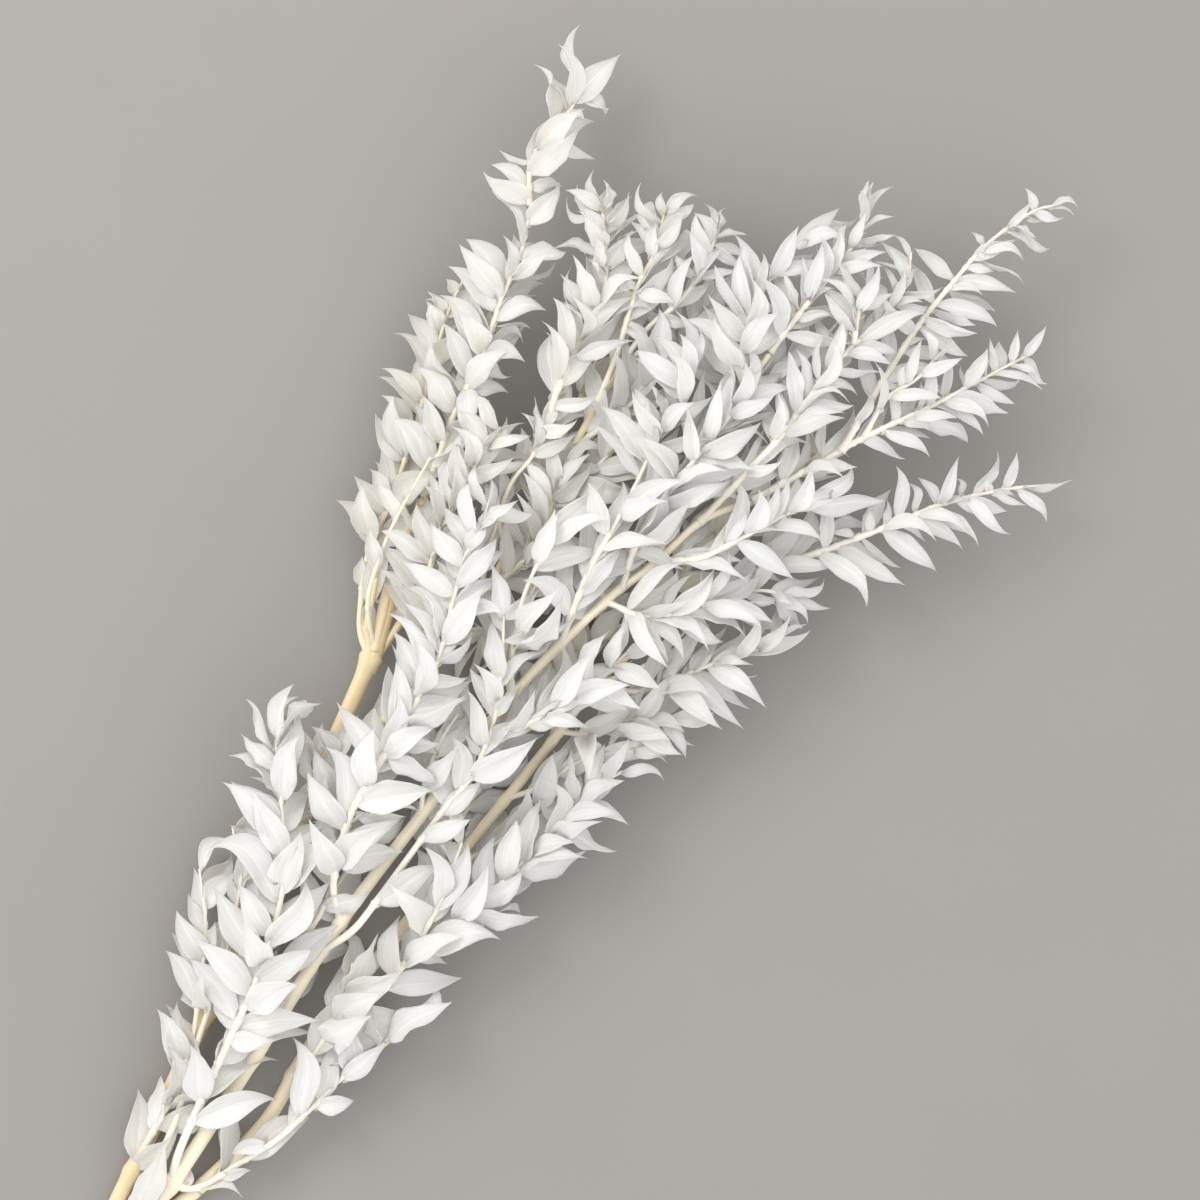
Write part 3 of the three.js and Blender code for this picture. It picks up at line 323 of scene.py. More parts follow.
        (141, 664.5, -50.5), (143, 651.5, -64, 65), (146, 652.5, -72.5), (152, 660, -61),
        (156, 668.5, -68.5), (158, 668, -43.5), (162, 671.5, -72.5, 65), (166, 676.5, -71.5, 65)]),
    Twig("crown_long", 28, 0.31, 0.06, [
        (437, -15, 52), (466, -18, 62), (492, -21, 66), (517, -21, 66), (537, -21, 64),
        (553, -23, 62), (572, -26, 58), (592, -26, 53), (608, -18, 48)], [
        (56, 512, -5), (60, 521, -41.5), (64, 517, -5), (68, 524, -2), (73, 531, 1),
        (77, 529, -41), (80, 530, -7), (88, 537, -31), (92, 549, -9), (95, 534, -40, 50),
        (96, 536, -2, 50), (100, 560, -10), (102, 551, -43), (112, 556, -44, 40), (116, 563, -43),
        (121, 587, -42.5), (148, 591, -38), (156, 603.5, -41), (157, 604, -26),
        (168, 592.5, -6, 70), (174, 608.5, -5, 70)]),
    Twig("crown_long", 26, 0.32, 0.1, [
        (553, -23, 62), (568, -15, 64), (585, -11, 60)], [
        (5, 571, -10), (14, 589, -15), (16, 592.5, -8), (18, 586, -24)]),
    Twig("crown_right", 28, 0.31, 0.04, [
        (525, 8, 61), (551, 8, 62), (578, 7, 59), (600, 8, 54), (616, 15, 49)], [
        (20, 557, -8), (22, 559.5, -1), (24, 562, 28), (26, 582, 22.5, 50), (30, 584.5, 20.5, 50),
        (32, 569, 1.5), (46, 576, -9.5), (47, 595.5, 19.5), (58, 597, 1), (64, 582, -9.5, 55),
        (66, 612, 13), (68, 601, -4), (76, 616.5, -0.5, 65), (78, 616.5, 21), (82, 628.5, 8.5, 65),
        (84, 623, 20.5), (88, 624.5, 18, 50)]),
    Twig("crown_mid", 32, 0.34, 0.05, [
        (495, 7, 61), (524, 23, 66), (543, 29, 64), (567, 30, 58), (591, 26, 51)], [
        (30, 524, 50), (34, 549, 42), (50, 543, 16), (51, 562.5, 41), (64, 584, 34.5),
        (74, 566, 16), (84, 603.5, 23.5)]),
    Twig("crown_deep", 32, 0.33, 0.06, [
        (460, 2, 59), (470, 20, 66), (489, 32, 69), (510, 39, 67)], [
        (12, 494, 16), (40, 505, 50), (44, 508, 47), (48, 514, 44), (52, 516, 39.5)]),
    Twig("top_left", 30, 0.37, 0.06, [
        (409, 57, 34), (422, 70, 42), (439, 79, 46), (463, 85, 50), (492, 90, 53), (509, 98, 52),
        (526, 112, 48), (537, 123, 44)], [
        (24, 446, 61), (38, 459, 64.5), (45, 467.5, 101, 45), (50, 479, 72), (67, 482, 111),
        (68, 503, 77), (80, 489, 109.5), (93, 505, 116), (96, 504.5, 109), (103, 507.5, 109.5, 60),
        (108, 509, 84), (112, 519, 113), (113, 531, 100), (120, 534, 97), (128, 527, 126.5),
        (133, 546.5, 110), (136, 547.5, 112.5), (141, 527, 136, 60), (143, 544.5, 127, 60),
        (144, 546, 133.5)]),
    Twig("top_mid", 30, 0.38, 0.05, [
        (454, 62, 40), (480, 69, 50), (510, 80, 56), (531, 84, 55), (549, 92, 50)], [
        (4, 478, 61), (42, 490, 60), (46, 493, 60), (60, 516, 60), (63, 500, 89),
        (68, 533.5, 99.5), (78, 543, 92), (84, 535.5, 103.5), (90, 539.5, 104), (97, 554.5, 110.5),
        (102, 557, 99), (104, 566, 83.5)]),
    Twig("top_right", 28, 0.37, 0.05, [
        (477, 64, 45), (498, 64, 51), (515, 60, 55), (537, 59, 55), (553, 64, 51), (563, 69, 47)], [
        (28, 515, 44), (38, 536, 53), (52, 552, 58), (57, 549, 41.5), (58, 536, 76), (60, 549, 70),
        (74, 553.5, 43.5), (76, 558, 80.5, 50), (77, 556.5, 43), (79, 565.5, 52.5, 50),
        (80, 565.5, 80), (82, 567, 71, 50), (84, 570, 69, 60)]),
    Twig("upper_main", 30, 0.42, 0.04, [
        (364, 103, 27), (407, 116, 34), (437, 122, 38), (465, 131, 40), (492, 138, 42),
        (512, 148, 42)], [
        (13, 385, 140.5), (21, 397, 103.5), (30, 397.5, 135), (46, 412.5, 145.5), (55, 436, 148),
        (60, 400, 98.5), (61, 431, 100), (76, 439, 104), (78, 448, 102.5), (81, 449, 158),
        (86, 454.5, 109), (90, 462, 147.5), (93, 463, 110.5), (96, 475, 109.5), (100, 478.5, 118),
        (101, 463, 163), (106, 475.5, 165), (113, 479.5, 164), (117, 492.5, 150.5),
        (120, 499, 121.5), (126, 500.5, 131), (127, 497, 147), (146, 531, 143.5),
        (148, 507, 168.5)]),
    Twig("upper_main", 30, 0.42, 0.04, [
        (512, 148, 42), (528, 160, 42), (546, 164, 41), (562, 161, 39), (580, 165, 37)], [
        (1, 512, 177.5), (9, 529, 141), (10, 516.5, 176), (20, 554, 166.5), (22, 525, 178),
        (41, 565, 147.5), (42, 551, 136), (43, 570, 189.5, 70), (53, 563, 152),
        (55, 566.5, 177, 50), (56, 585, 186), (60, 600.5, 157.5), (64, 571, 146),
        (68, 599.5, 182.5, 65)]),
    Twig("upper_back", 32, 0.42, 0.2, [
        UPPER_FORK, (293, 88, 14), (303, 97, 12), (326, 109, 14), (357, 117, 18), (387, 127, 22),
        (416, 138, 26), (445, 149, 29), (470, 154, 31)], [
        (34, 321.5, 110.5), (58, 336, 138), (72, 351.5, 138), (80, 359, 134), (92, 374, 130, 65),
        (101, 383, 148), (114, 391.5, 151.5), (125, 398.5, 157.5), (133, 402.5, 159),
        (146, 420, 165), (158, 432.5, 165), (168, 443, 161.5), (178, 447.5, 164), (188, 458, 160)]),
    Twig("upper_low", 32, 0.42, 0.15, [
        UPPER_FORK, (304, 93, 27), (322, 101, 33), (345, 107, 39), (366, 110, 43),
        (382, 112, 44)], [
        (6, 309.5, 94), (44, 336, 116), (72, 356.5, 127), (84, 363, 114)]),
    Twig("bed_low", 32, 0.4, 0.15, [
        (305, -22, 20), (322, -14, 12), (350, -8, 9), (380, 0, 8), (405, 6, 8)], []),
    Twig("bed_mid", 32, 0.4, 0.1, [
        (227, 52, 22), (250, 44, 14), (286, 34, 9), (324, 26, 8), (352, 24, 8)], []),
    Twig("bed_left", 32, 0.38, 0.1, [
        (391, 57, 32), (412, 62, 22), (440, 68, 16), (474, 76, 13), (505, 82, 11)], []),
    Twig("bed_right", 32, 0.38, 0.1, [
        (370, -29, 24), (395, -24, 15), (430, -24, 10), (468, -32, 9), (500, -42, 9)], []),
]

# Sprays that only this model has, inside the others. They are part of the pieces named.
INNER = [
    Twig("crown_deep", 36, 0.36, 0.05, [
        (427, 58, 36), (448, 52, 42), (470, 47, 46), (495, 46, 47), (520, 48, 44)], []),
    Twig("crown_right", 34, 0.34, 0.05, [
        (495, 7, 61), (512, -2, 54), (535, -8, 50), (562, -10, 47)], []),
    Twig("crown_mid", 34, 0.34, 0.05, [
        (495, 7, 61), (505, 14, 52), (525, 17, 46), (552, 16, 42)], []),
    Twig("right_low", 38, 0.42, 0.05, [
        (222, -20, 17), (240, -28, 22), (262, -35, 24), (286, -40, 24)], []),
    Twig("right_low", 34, 0.42, 0.05, [
        (208, -19, 16), (228, -12, 12), (255, -8, 11), (285, -7, 13)], []),
    Twig("upper_low", 34, 0.38, 0.3, [
        (314, 75.5, 17), (330, 76, 20), (345, 74, 23), (362, 74, 26)], []),
    Twig("behind_mid", 36, 0.36, 0.1, [
        (341, 49, 28), (355, 58, 30), (378, 66, 34), (402, 72, 34)], []),
    Twig("bed_low", 36, 0.36, 0.05, [
        (377, -1, 48), (385, 12, 44), (400, 24, 42), (424, 30, 42)], []),
    Twig("bed_right", 36, 0.36, 0.05, [
        (405, -9, 50), (418, -20, 44), (438, -27, 41), (462, -30, 38)], []),
    Twig("bed_mid", 36, 0.38, 0.05, [
        (311, 8, 44), (322, 20, 41), (342, 28, 39), (366, 32, 38)], []),
    Twig("top_right", 32, 0.36, 0.05, [
        (477, 64, 45), (494, 72, 41), (516, 74, 40), (538, 70, 38)], []),
    Twig("behind_up", 34, 0.36, 0.05, [
        (391, 57, 32), (404, 50, 38), (424, 44, 42), (446, 40, 42)], []),
    Twig("right_fan", 36, 0.36, 0.1, [
        (341, -22, 22), (352, -30, 30), (368, -38, 36), (388, -42, 38)], []),
    Twig("top_mid", 32, 0.36, 0.1, [
        (477, 64, 45), (500, 55, 46), (522, 48, 44), (545, 44, 41)], []),
    Twig("tip_low", 32, 0.34, 0.1, [
        (427, -45, 30), (440, -55, 26), (456, -64, 26), (474, -70, 27)], []),
    Twig("long_left", 36, 0.38, 0.1, [
        (235, 8, 38), (250, 16, 45), (268, 22, 47), (288, 24, 47)], []),
]

# Finishes, in colours of 0 to 255 on screen.
LEAF_WHITE, LEAF_CREAM = (243, 242, 241), (242, 235, 212)
LEAF_VEINS, LEAF_CLOUD = (208, 205, 200), (250, 249, 247)
# The rims' colour is a painted highlight: a brighter line along each blade's edge, where it would
# catch the light.
LEAF_RIB, LEAF_RIM_HIGHLIGHT = (252, 251, 248), (255, 255, 254)
RIB_MASK, RIM_HIGHLIGHT_MASK = (0.018, 0.006), (0.45, 0.475)  # shares of the breadth, from the middle
STALK_WHITE, STALK_IVORY, STALK_STREAKS = (246, 244, 236), (240, 228, 196), (232, 222, 196)
CANE_STRAW, CANE_TAN = (255, 250, 232), (234, 207, 158)
CANE_STREAKS, CANE_PATCHES = (232, 208, 160), (254, 246, 222)
CUT_PITH, CUT_WOOD, CUT_BARK = (246, 240, 226), (232, 212, 170), (196, 164, 112)
PITH_EDGE, BARK_EDGE = (0.25, 0.4), (0.85, 0.95)  # shares of the cut's radius
FLOOR_LIGHT, FLOOR_DARK = (152, 149, 146), (145, 142, 139)
APART = 37.0  # in the noise, between the palest and the creamiest pieces
RUN_RATE = 10  # of the map along a tube, for each metre
TONE_SPREAD = 0.1  # from leaf to leaf

# How cream a twig's leaves and stalk are, from 0 to 1, where they are not among the white ones.
# This is partly their own tone and partly painted shade: the twigs that lie low or behind the
# others are made creamier.
CREAM_AND_PAINTED_SHADE = {
    "upper_back": 0.75, "upper_low": 0.6, "upper_main": 0.38, "behind_left": 0.5,
    "behind_mid": 0.55, "behind_up": 0.45, "top_left": 0.32, "top_mid": 0.28,
    "bed_low": 0.8, "bed_mid": 0.8, "bed_left": 0.8, "bed_right": 0.8,
    "low_left": 0.3, "low_ivory": 0.35, "left_small": 0.3, "right_mid": 0.3,
}
WHITE = 0.14  # the same for every other twig

# How tan a cane is: partly its own tan and partly painted shade, darker for the canes that lie in
# shade under the leaves.
TAN_AND_PAINTED_SHADE = {"foot": 0.9, "left": 0.95, "left_end": 0.9, "hidden": 0.5, "right": 0.4,
       "limb_left": 0.6, "limb_middle": 0.7, "limb_right": 0.95, "limb_low": 0.8}
PALE = 0.15  # every other cane

# How much further apart the hidden leaves are on the open twigs.
SPARSE = {
    "low_left": 3, "low_white": 4, "low_ivory": 3, "low_curl": 5, "low_broad": 3, "mid_left": 3,
    "left_small": 3, "right_low": 2, "slender": 3, "long_left": 2, "tip_low": 5, "tip_mid": 5,
    "upper_main": 3, "right_reach": 2.5, "right_tuft": 2, "right_mid": 2, "tip_fan": 2,
}

# The studio: the camera in millimetres, the floor and the lamp in metres.
VIEW_CENTRE = np.array([375.8, 1.5, 40])  # what the camera looks at, in the routes' frame
VIEW_WIDTH = 600  # of what it sees, at that height
CAMERA_HEIGHT = 4000
VIEW_UP = np.array([0.799, 0.602, 0])  # what is upwards in the view
SENSOR = 36
FLOOR_HALF = 6
WORLD_LIGHT = 1.21
KEY_FROM, KEY_SIZE, KEY_POWER = (0.1, 1.1, 1.2), 0.7, 7.6
KEY_COLOUR = (1, 0.99, 0.97)

# ---------------------------------------------------------------- lines

def unit(vector):
    return vector / np.linalg.norm(vector)


def placed(points):
    """Points of the routes' frame, in the model's frame and in metres."""
    return (np.asarray(points, float) - MIDDLE) * MM


def smooth_line(route, steps):
    """Points on a smooth curve through the route, with `steps` to each of its stretches."""
    points = np.array(route, float)
    knots = np.vstack([2 * points[0] - points[1], points, 2 * points[-1] - points[-2]])
    share = np.arange(steps)[:, None] / steps
    stretches = []
    for before, start, end, after in zip(knots, knots[1:], knots[2:], knots[3:]):
        leaving = (end - before) / 2
        arriving = (after - start) / 2
        stretches.append(start + leaving * share
                         + (3 * (end - start) - 2 * leaving - arriving) * share ** 2
                         + (2 * (start - end) + leaving + arriving) * share ** 3)
    return np.vstack(stretches + [points[-1:]])


class Line:
    """A line of points, and the distance along it to each."""

    def __init__(self, points):
        self.points = np.asarray(points, float)
        steps = np.linalg.norm(np.diff(self.points, axis=0), axis=1)
        self.reach = np.concatenate([[0], np.cumsum(steps)])
        self.total = self.reach[-1]

    def place(self, distance):
        """The point at a distance, and the line's direction there."""
        after = int(np.clip(np.searchsorted(self.reach, distance), 1, len(self.points) - 1))
        start, end = self.points[after - 1], self.points[after]
        share = (distance - self.reach[after - 1]) / (self.reach[after] - self.reach[after - 1])
        return start + (end - start) * share, unit(end - start)


def evenly(line, spacing):
    """The same line with its points evenly apart."""
    reach = np.linspace(0, line.total, 1 + math.ceil(line.total / spacing))
    return Line(np.column_stack([np.interp(reach, line.reach, line.points[:, k])
                                 for k in range(3)]))


def frame_of(along):
    """The directions to the left of a line and up from it."""
    left = unit(np.cross([0, 0, 1], along))
    return left, np.cross(along, left)


def round_of(along, turns):
    """A direction away from a line for each turn round it."""
    left, up = frame_of(along)
    return np.outer(np.cos(turns), left) + np.outer(np.sin(turns), up)


# ---------------------------------------------------------------- where the leaves grow

def draws(seed):
    """Seeded draws between 0 and 1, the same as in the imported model."""
    modulus = 2147483647
    spread, step = 48271, 16807
    settling = 2  # draws that are passed over
    state = 1 + (seed * spread) % (modulus - 1)
    count = 0
    while True:
        state = state * step % modulus
        count += 1
        if count > settling:
            yield state / modulus


Spot = namedtuple("Spot", "order distance tip roll rank")
Leaf = namedtuple("Leaf", "at ahead normal across long half fold arch curl hook seed")


def side_of(order):
    """Leaves without a place of their own stand left and right in turn."""
    return -1 if order % 2 else 1


def spots_of(twig, line):
    """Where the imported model's leaves grow on a twig: first those that are listed."""
    spots = [Spot(order, tip[0], tip[1:3], tip[3] if len(tip) > 3 else 0, 0)
             for order, tip in enumerate(twig.tips)]
    bare = twig.bare * line.total
    room = line.total - TIP_INSET - bare
    count = int(math.floor(room / LEAF_STEP + 0.5))
    for order in range(count):
        distance = bare + room * (order + 1) / count
        if all(abs(tip[0] - distance) > LEAF_ROOM for tip in twig.tips):
            spots.append(Spot(len(spots), distance, None, 0, side_of(order)))
    return spots


def hidden_spots(twig, line):
    """Where this model's own leaves grow, under the others."""
    bare = min(twig.bare + HIDDEN_BARE, MOST_BARE) * line.total
    count = int((line.total - bare) / (HIDDEN_STEP * SPARSE.get(twig.node, 1)))
    return [Spot(HIDDEN_ORDER + order, bare + (line.total - bare) * (order + 0.5) / count,
                 None, 0, side_of(order))
            for order in range(count)]


def listed_reach(at, tip, looser, vary):
    """The way from a listed leaf's foot to its tip, with a drawn rise."""
    reach = np.array([tip[0] - at[0], tip[1] - at[1], 0])
    reach[2] = np.linalg.norm(reach) * (RISE + vary(RISE_SPREAD * looser))
    reach[2] = max(reach[2], LOWEST - at[2])
    return reach


def reach_of(twig, line, spot, looser, vary):
    """A spot's place, its twig's direction there, and the way to its leaf's tip."""
    at, along = line.place(spot.distance)
    if spot.tip is not None:
        return at, along, listed_reach(at, spot.tip, looser, vary)
    left, up = frame_of(along)
    hidden = spot.order >= HIDDEN_ORDER
    if hidden:
        turn = spot.rank * (HIDDEN_TURN + vary(HIDDEN_TURN_SPREAD))
        splay = HIDDEN_SPLAY + vary(HIDDEN_SPLAY_SPREAD)
    else:
        turn = spot.rank * (TURN + vary(TURN_SPREAD * looser))
        splay = SPLAY + vary(SPLAY_SPREAD * looser)
    outward = up * math.cos(turn) + left * math.sin(turn)
    share = spot.distance / line.total
    long = twig.leaf * (1 - SHORTER * share ** 2) * (1 + vary(LENGTH_SPREAD))
    if hidden:
        long *= HIDDEN_LONGER
    return at, along, long * (along * math.cos(splay) + outward * math.sin(splay))


def leaf_on(seed, twig, line, spot, attempt):
    """The leaf at a spot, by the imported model's rule."""
    stream = draws(seed * TWIG_SEEDS + spot.order * SPOT_SEEDS + attempt)

    def draw():
        return next(stream)

    def vary(spread):
        return spread * (2 * draw() - 1)

    looser = 1 + LOOSER * attempt
    at, along, reach = reach_of(twig, line, spot, looser, vary)
    long = np.linalg.norm(reach)
    ahead = reach / long
    outward = unit(ahead - along * ahead.dot(along))
    spread = HIDDEN_FACE_SPREAD if spot.order >= HIDDEN_ORDER else FACE_SPREAD
    facing = np.array([vary(spread), vary(spread), FACE_UP]) + FACE_OUT * outward
    face = unit(facing - ahead * facing.dot(ahead))
    roll = vary(ROLL_SPREAD * looser) + math.radians(spot.roll) * (-1 if draw() < 0.5 else 1)
    normal = face * math.cos(roll) + np.cross(face, ahead) * math.sin(roll)
    across = np.cross(normal, ahead)
    return Leaf(
        at, ahead, normal, across, long,
        half=0.5 * twig.broad * math.sqrt(long * twig.leaf) * (1 + vary(BREADTH_SPREAD)),
        fold=FOLD[0] + FOLD[1] * draw() ** 2,
        arch=ARCH[0] + ARCH[1] * draw(),
        curl=CURL[0] + CURL[1] * draw(),
        hook=-np.sign(across.dot(along)) * (HOOK + vary(HOOK_SPREAD)),
        seed=seed * TWIG_SEEDS + spot.order,
    )


def places(seed, twig, line, spot, count):
    """A spot's leaf in each of the places that the rule tries for it."""
    return (leaf_on(seed, twig, line, spot, attempt) for attempt in range(count))


def corners_of(node):
    """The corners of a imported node, to look up the nearest."""
    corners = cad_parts[node].data.vertices
    tree = KDTree(len(corners))
    for index, corner in enumerate(corners):
        tree.insert(corner.co, index)
    tree.balance()
    return tree


def is_packed(leaf, corners):
    """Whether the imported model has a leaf: then its tip is at a corner of the node."""
    tip = leaf.at + leaf.ahead * leaf.long
    tip[2] = max(tip[2], 0)
    return corners.find(Vector(placed(tip)))[2] < SAME_PLACE * MM


def packed_leaves(node, twigs):
    """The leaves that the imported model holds, and the spots that it leaves empty."""
    corners = corners_of(node)
    found, missing = [], []
    for seed, twig in twigs:
        line = Line(twig.route)
        for spot in spots_of(twig, line):
            tried = places(seed, twig, line, spot, ATTEMPTS)
            leaf = next((leaf for leaf in tried if is_packed(leaf, corners)), None)
            if leaf:
                found.append((twig, leaf))
            else:
                missing.append((seed, twig, line, spot))
    return found, missing


def sheet_of(leaf, sheet):
    """A coarse sheet in a leaf's place, to keep others clear of it."""
    points = blade_shape(leaf, sheet, leaf.at)
    rows, columns = points.shape[:2]
    index = np.arange(rows * columns).reshape(rows, columns)
    faces = [(index[i, j], index[i + 1, j], index[i + 1, j + 1], index[i, j + 1])
             for i in range(rows - 1) for j in range(columns - 1)]
    flat = points.reshape(-1, 3)
    return BVHTree.FromPolygons(flat.tolist(), faces), flat.min(0), flat.max(0)


class Room:
    """The space that the leaves placed so far leave free."""

    def __init__(self):
        self.trees = []
        self.lows = []
        self.highs = []

    def is_free(self, leaf, sheet):
        tree, low, high = sheet_of(leaf, sheet)
        lows = np.reshape(self.lows, (-1, 3))
        highs = np.reshape(self.highs, (-1, 3))
        near = ((highs > low) & (lows < high)).all(axis=1)
        return not any(tree.overlap(self.trees[index]) for index in np.flatnonzero(near))

    def take(self, leaf):
        tree, low, high = sheet_of(leaf, SHEET)
        self.trees.append(tree)
        self.lows.append(low)
        self.highs.append(high)


class Cover:
    """A map of what the leaves cover, seen from above, and of what they may still fill."""

    def __init__(self, leaves):
        ends = np.array([leaf.at + leaf.ahead * leaf.long * share
                         for leaf in leaves for share in (0, 1)])[:, :2]
        margin = 3 * CLOSED
        self.low = ends.min(0) - margin
        self.size = np.ceil((ends.max(0) + margin - self.low) / CELL).astype(int)
        self.layers = np.zeros(self.size, int)
        for leaf in leaves:
            self.take(leaf)
        covered = self.layers > 0
        self.wanted = closed(covered, CLOSED_RIM) | shrunk(closed(covered, CLOSED), RIM)
        self.ceiling = np.full(self.size, np.inf)
        self.leave_open()

    def leave_open(self):
        """Keep the clearings free, and lower the ceiling over the canes that show."""
        middles = [self.low[k] + (np.arange(self.size[k]) + 0.5) * CELL for k in (0, 1)]
        x, y = np.meshgrid(*middles, indexing="ij")
        for a, b, radius in CLEARINGS:
            self.wanted &= np.hypot(x - a, y - b) > radius
        for a, b, c, d, height in SHOWING:
            share = np.clip(((x - a) * (c - a) + (y - b) * (d - b))
                            / ((c - a) ** 2 + (d - b) ** 2), 0, 1)
            apart = np.hypot(x - a - share * (c - a), y - b - share * (d - b))
            self.ceiling[apart < SHOWING_HALF] = height

    def cells_of(self, leaf):
        """The cells that a leaf covers, and its height in each."""
        points = blade_shape(leaf, FOOTPRINT, leaf.at).reshape(-1, 3)
        cells = np.clip(((points[:, :2] - self.low) / CELL).astype(int), 0, self.size - 1)
        cells, first = np.unique(cells, axis=0, return_index=True)
        return tuple(cells.T), points[first, 2]

    def take(self, leaf):
        self.layers[self.cells_of(leaf)[0]] += 1

    def gain(self, leaf):
        """Square millimetres that a leaf would add, less what it costs beyond the others."""
        cells, heights = self.cells_of(leaf)
        layers = self.layers[cells]
        wanted = self.wanted[cells] & (heights < self.ceiling[cells])
        added = sum(share * np.count_nonzero(wanted & (layers == count))
                    for count, share in enumerate(GAINS))
        return (added - BEYOND_COST * np.count_nonzero(~wanted)) * CELL ** 2


def grown(cells, reach):
    """A map with all that lies within a number of millimetres of it."""
    span = range(-int(reach / CELL), int(reach / CELL) + 1)
    spread = np.zeros_like(cells)
    for i in span:
        for j in span:
            if math.hypot(i, j) * CELL <= reach:
                spread |= np.roll(cells, (i, j), axis=(0, 1))
    return spread


def shrunk(cells, reach):
    """A map less all that lies within a number of millimetres of its edge."""
    return ~grown(~cells, reach)


def closed(cells, reach):
    """A map with its gaps closed, up to twice the reach wide."""
    return shrunk(grown(cells, reach), reach)


def settled(leaf, room):
    """The leaf in the first of its shapes that is clear of the others, its place now taken."""
    shapes = (leaf._replace(seed=leaf.seed + shape * SHAPE_SEEDS) for shape in range(SHAPES))
    fresh = next((shape for shape in shapes if room.is_free(shape, SHEET)), leaf)
    room.take(fresh)
    return fresh


def first_free(seed, twig, line, spot, room):
    """A spot's leaf in the first place that is free, or else in the first of all."""
    tried = places(seed, twig, line, spot, ATTEMPTS)
    return next((leaf for leaf in tried if room.is_free(leaf, SHEET)),
                leaf_on(seed, twig, line, spot, 0))


def best_filling(seed, twig, line, spot, room, cover):
    """A spot's free leaf that covers most of what is still bare, or none."""
    leaves = list(places(seed, twig, line, spot, HIDDEN_ATTEMPTS))
    gains = np.array([cover.gain(leaf) for leaf in leaves])
    for index in np.argsort(-gains, kind="stable"):
        if gains[index] < LEAST_GAIN:
            return None
        if room.is_free(leaves[index], BLADE_SHEET):
            return leaves[index]
    return None


def fill_in(own, rows, inner, room):
    """Add the hidden leaves to every node's own, those of its inner sprays as well."""
    cover = Cover([leaf for leaves in own.values() for _, leaf in leaves])
    for node, twigs in rows.items():
        for seed, twig in twigs + inner.get(node, []):
            line = Line(twig.route)
            for spot in hidden_spots(twig, line):
                leaf = best_filling(seed, twig, line, spot, room, cover)
                if leaf:
                    room.take(leaf)
                    cover.take(leaf)
                    own[node].append((twig, leaf))


def all_leaves(rows, inner):
    """Every leaf of every node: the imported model's, the ones that had no room there, and the
    hidden ones."""
    own, missing = {}, {}
    for node, twigs in rows.items():
        own[node], missing[node] = packed_leaves(f"twig_{node}", twigs)
    room = Room()
    for node, leaves in own.items():
        own[node] = [(twig, settled(leaf, room)) for twig, leaf in leaves]
    for node, spots in missing.items():
        for seed, twig, line, spot in spots:
            leaf = first_free(seed, twig, line, spot, room)
            own[node].append((twig, settled(leaf, room)))
    fill_in(own, rows, inner, room)
    return own


# ---------------------------------------------------------------- a leaf's blade

class Grid:
    """Where a blade's points lie, as shares of its length and of its half breadth, and the
    faces of a closed blade on them: its upper side, its under side, which shares the rims,
    and the point where both end."""

    def __init__(self, along, across):
        self.along = np.array(along)
        self.across = np.array(across)
        rows, columns = len(along), len(across)
        upper = np.arange(rows * columns).reshape(rows, columns)
        under = upper.copy()
        inner = (rows - 1) * (columns - 2)
        under[1:, 1:-1] = rows * columns + np.arange(inner).reshape(rows - 1, columns - 2)
        tip = rows * columns + inner
        faces = []
        for i in range(rows - 1):
            for j in range(columns - 1):
                faces.append((upper[i, j], upper[i + 1, j], upper[i + 1, j + 1], upper[i, j + 1]))
                faces.append((under[i, j], under[i, j + 1], under[i + 1, j + 1], under[i + 1, j]))
        for j in range(columns - 1):
            faces.append((upper[-1, j], tip, upper[-1, j + 1]))
            faces.append((under[-1, j + 1], tip, under[-1, j]))
        self.faces = [tuple(int(v) for v in face) for face in faces]
        sides = (self.across + 1) / 2
        self.where = np.vstack([
            np.stack(np.meshgrid(sides, self.along), axis=2).reshape(-1, 2),
            np.stack(np.meshgrid(sides[1:-1], self.along[1:]), axis=2).reshape(-1, 2),
            [[0.5, 1]]])


BLADE = Grid(
    [0, .03, .08, .15, .23, .32, .41, .5, .59, .68, .76, .83, .89, .935, .97],
    [-1, -.94, -.78, -.62, -.46, -.3, -.14, 0, .14, .3, .46, .62, .78, .94, 1])
PLAIN_BLADE = Grid(
    [0, .05, .14, .26, .38, .5, .62, .74, .84, .92, .97],
    [-1, -.93, -.6, -.25, 0, .25, .6, .93, 1])
SCALE = Grid([0, .3, .7], [-1, 0, 1])
SHEET = Grid([.14, .3, .45, .6, .75, .9], [-1, -.5, 0, .5, 1])  # keeps others clear
BLADE_SHEET = Grid([.26, .42, .58, .74, .9], [-1, -.5, 0, .5, 1])  # the same, less the foot
FOOTPRINT = Grid(np.linspace(.03, .97, 19), np.linspace(-1, 1, 7))  # of what a leaf covers


def stray(random, spread, crisp):
    """A random amount about 0, the larger the smaller the leaf is."""
    return random.normal(0, spread[0] + spread[1] * crisp)


def half_breadth(leaf, f, crisp, random):
    """Half the blade's breadth at each share of its length."""
    foot = random.uniform(*FOOT_ROUND)
    point = random.uniform(*TIP_POINT)
    widest = foot / (foot + point)
    outline = (f / widest) ** foot * ((1 - f) / (1 - widest)) ** point
    slim = np.interp(leaf.at[0], *zip(LOW, HIGH))
    if leaf.at[1] > UPPER[0]:
        slim = max(slim, UPPER[1])
    slim *= 1 - SMALLER * crisp
    slim *= random.uniform(*SLIM)
    return np.maximum(leaf.half * slim * outline, LEAST_HALF * (1 - f))


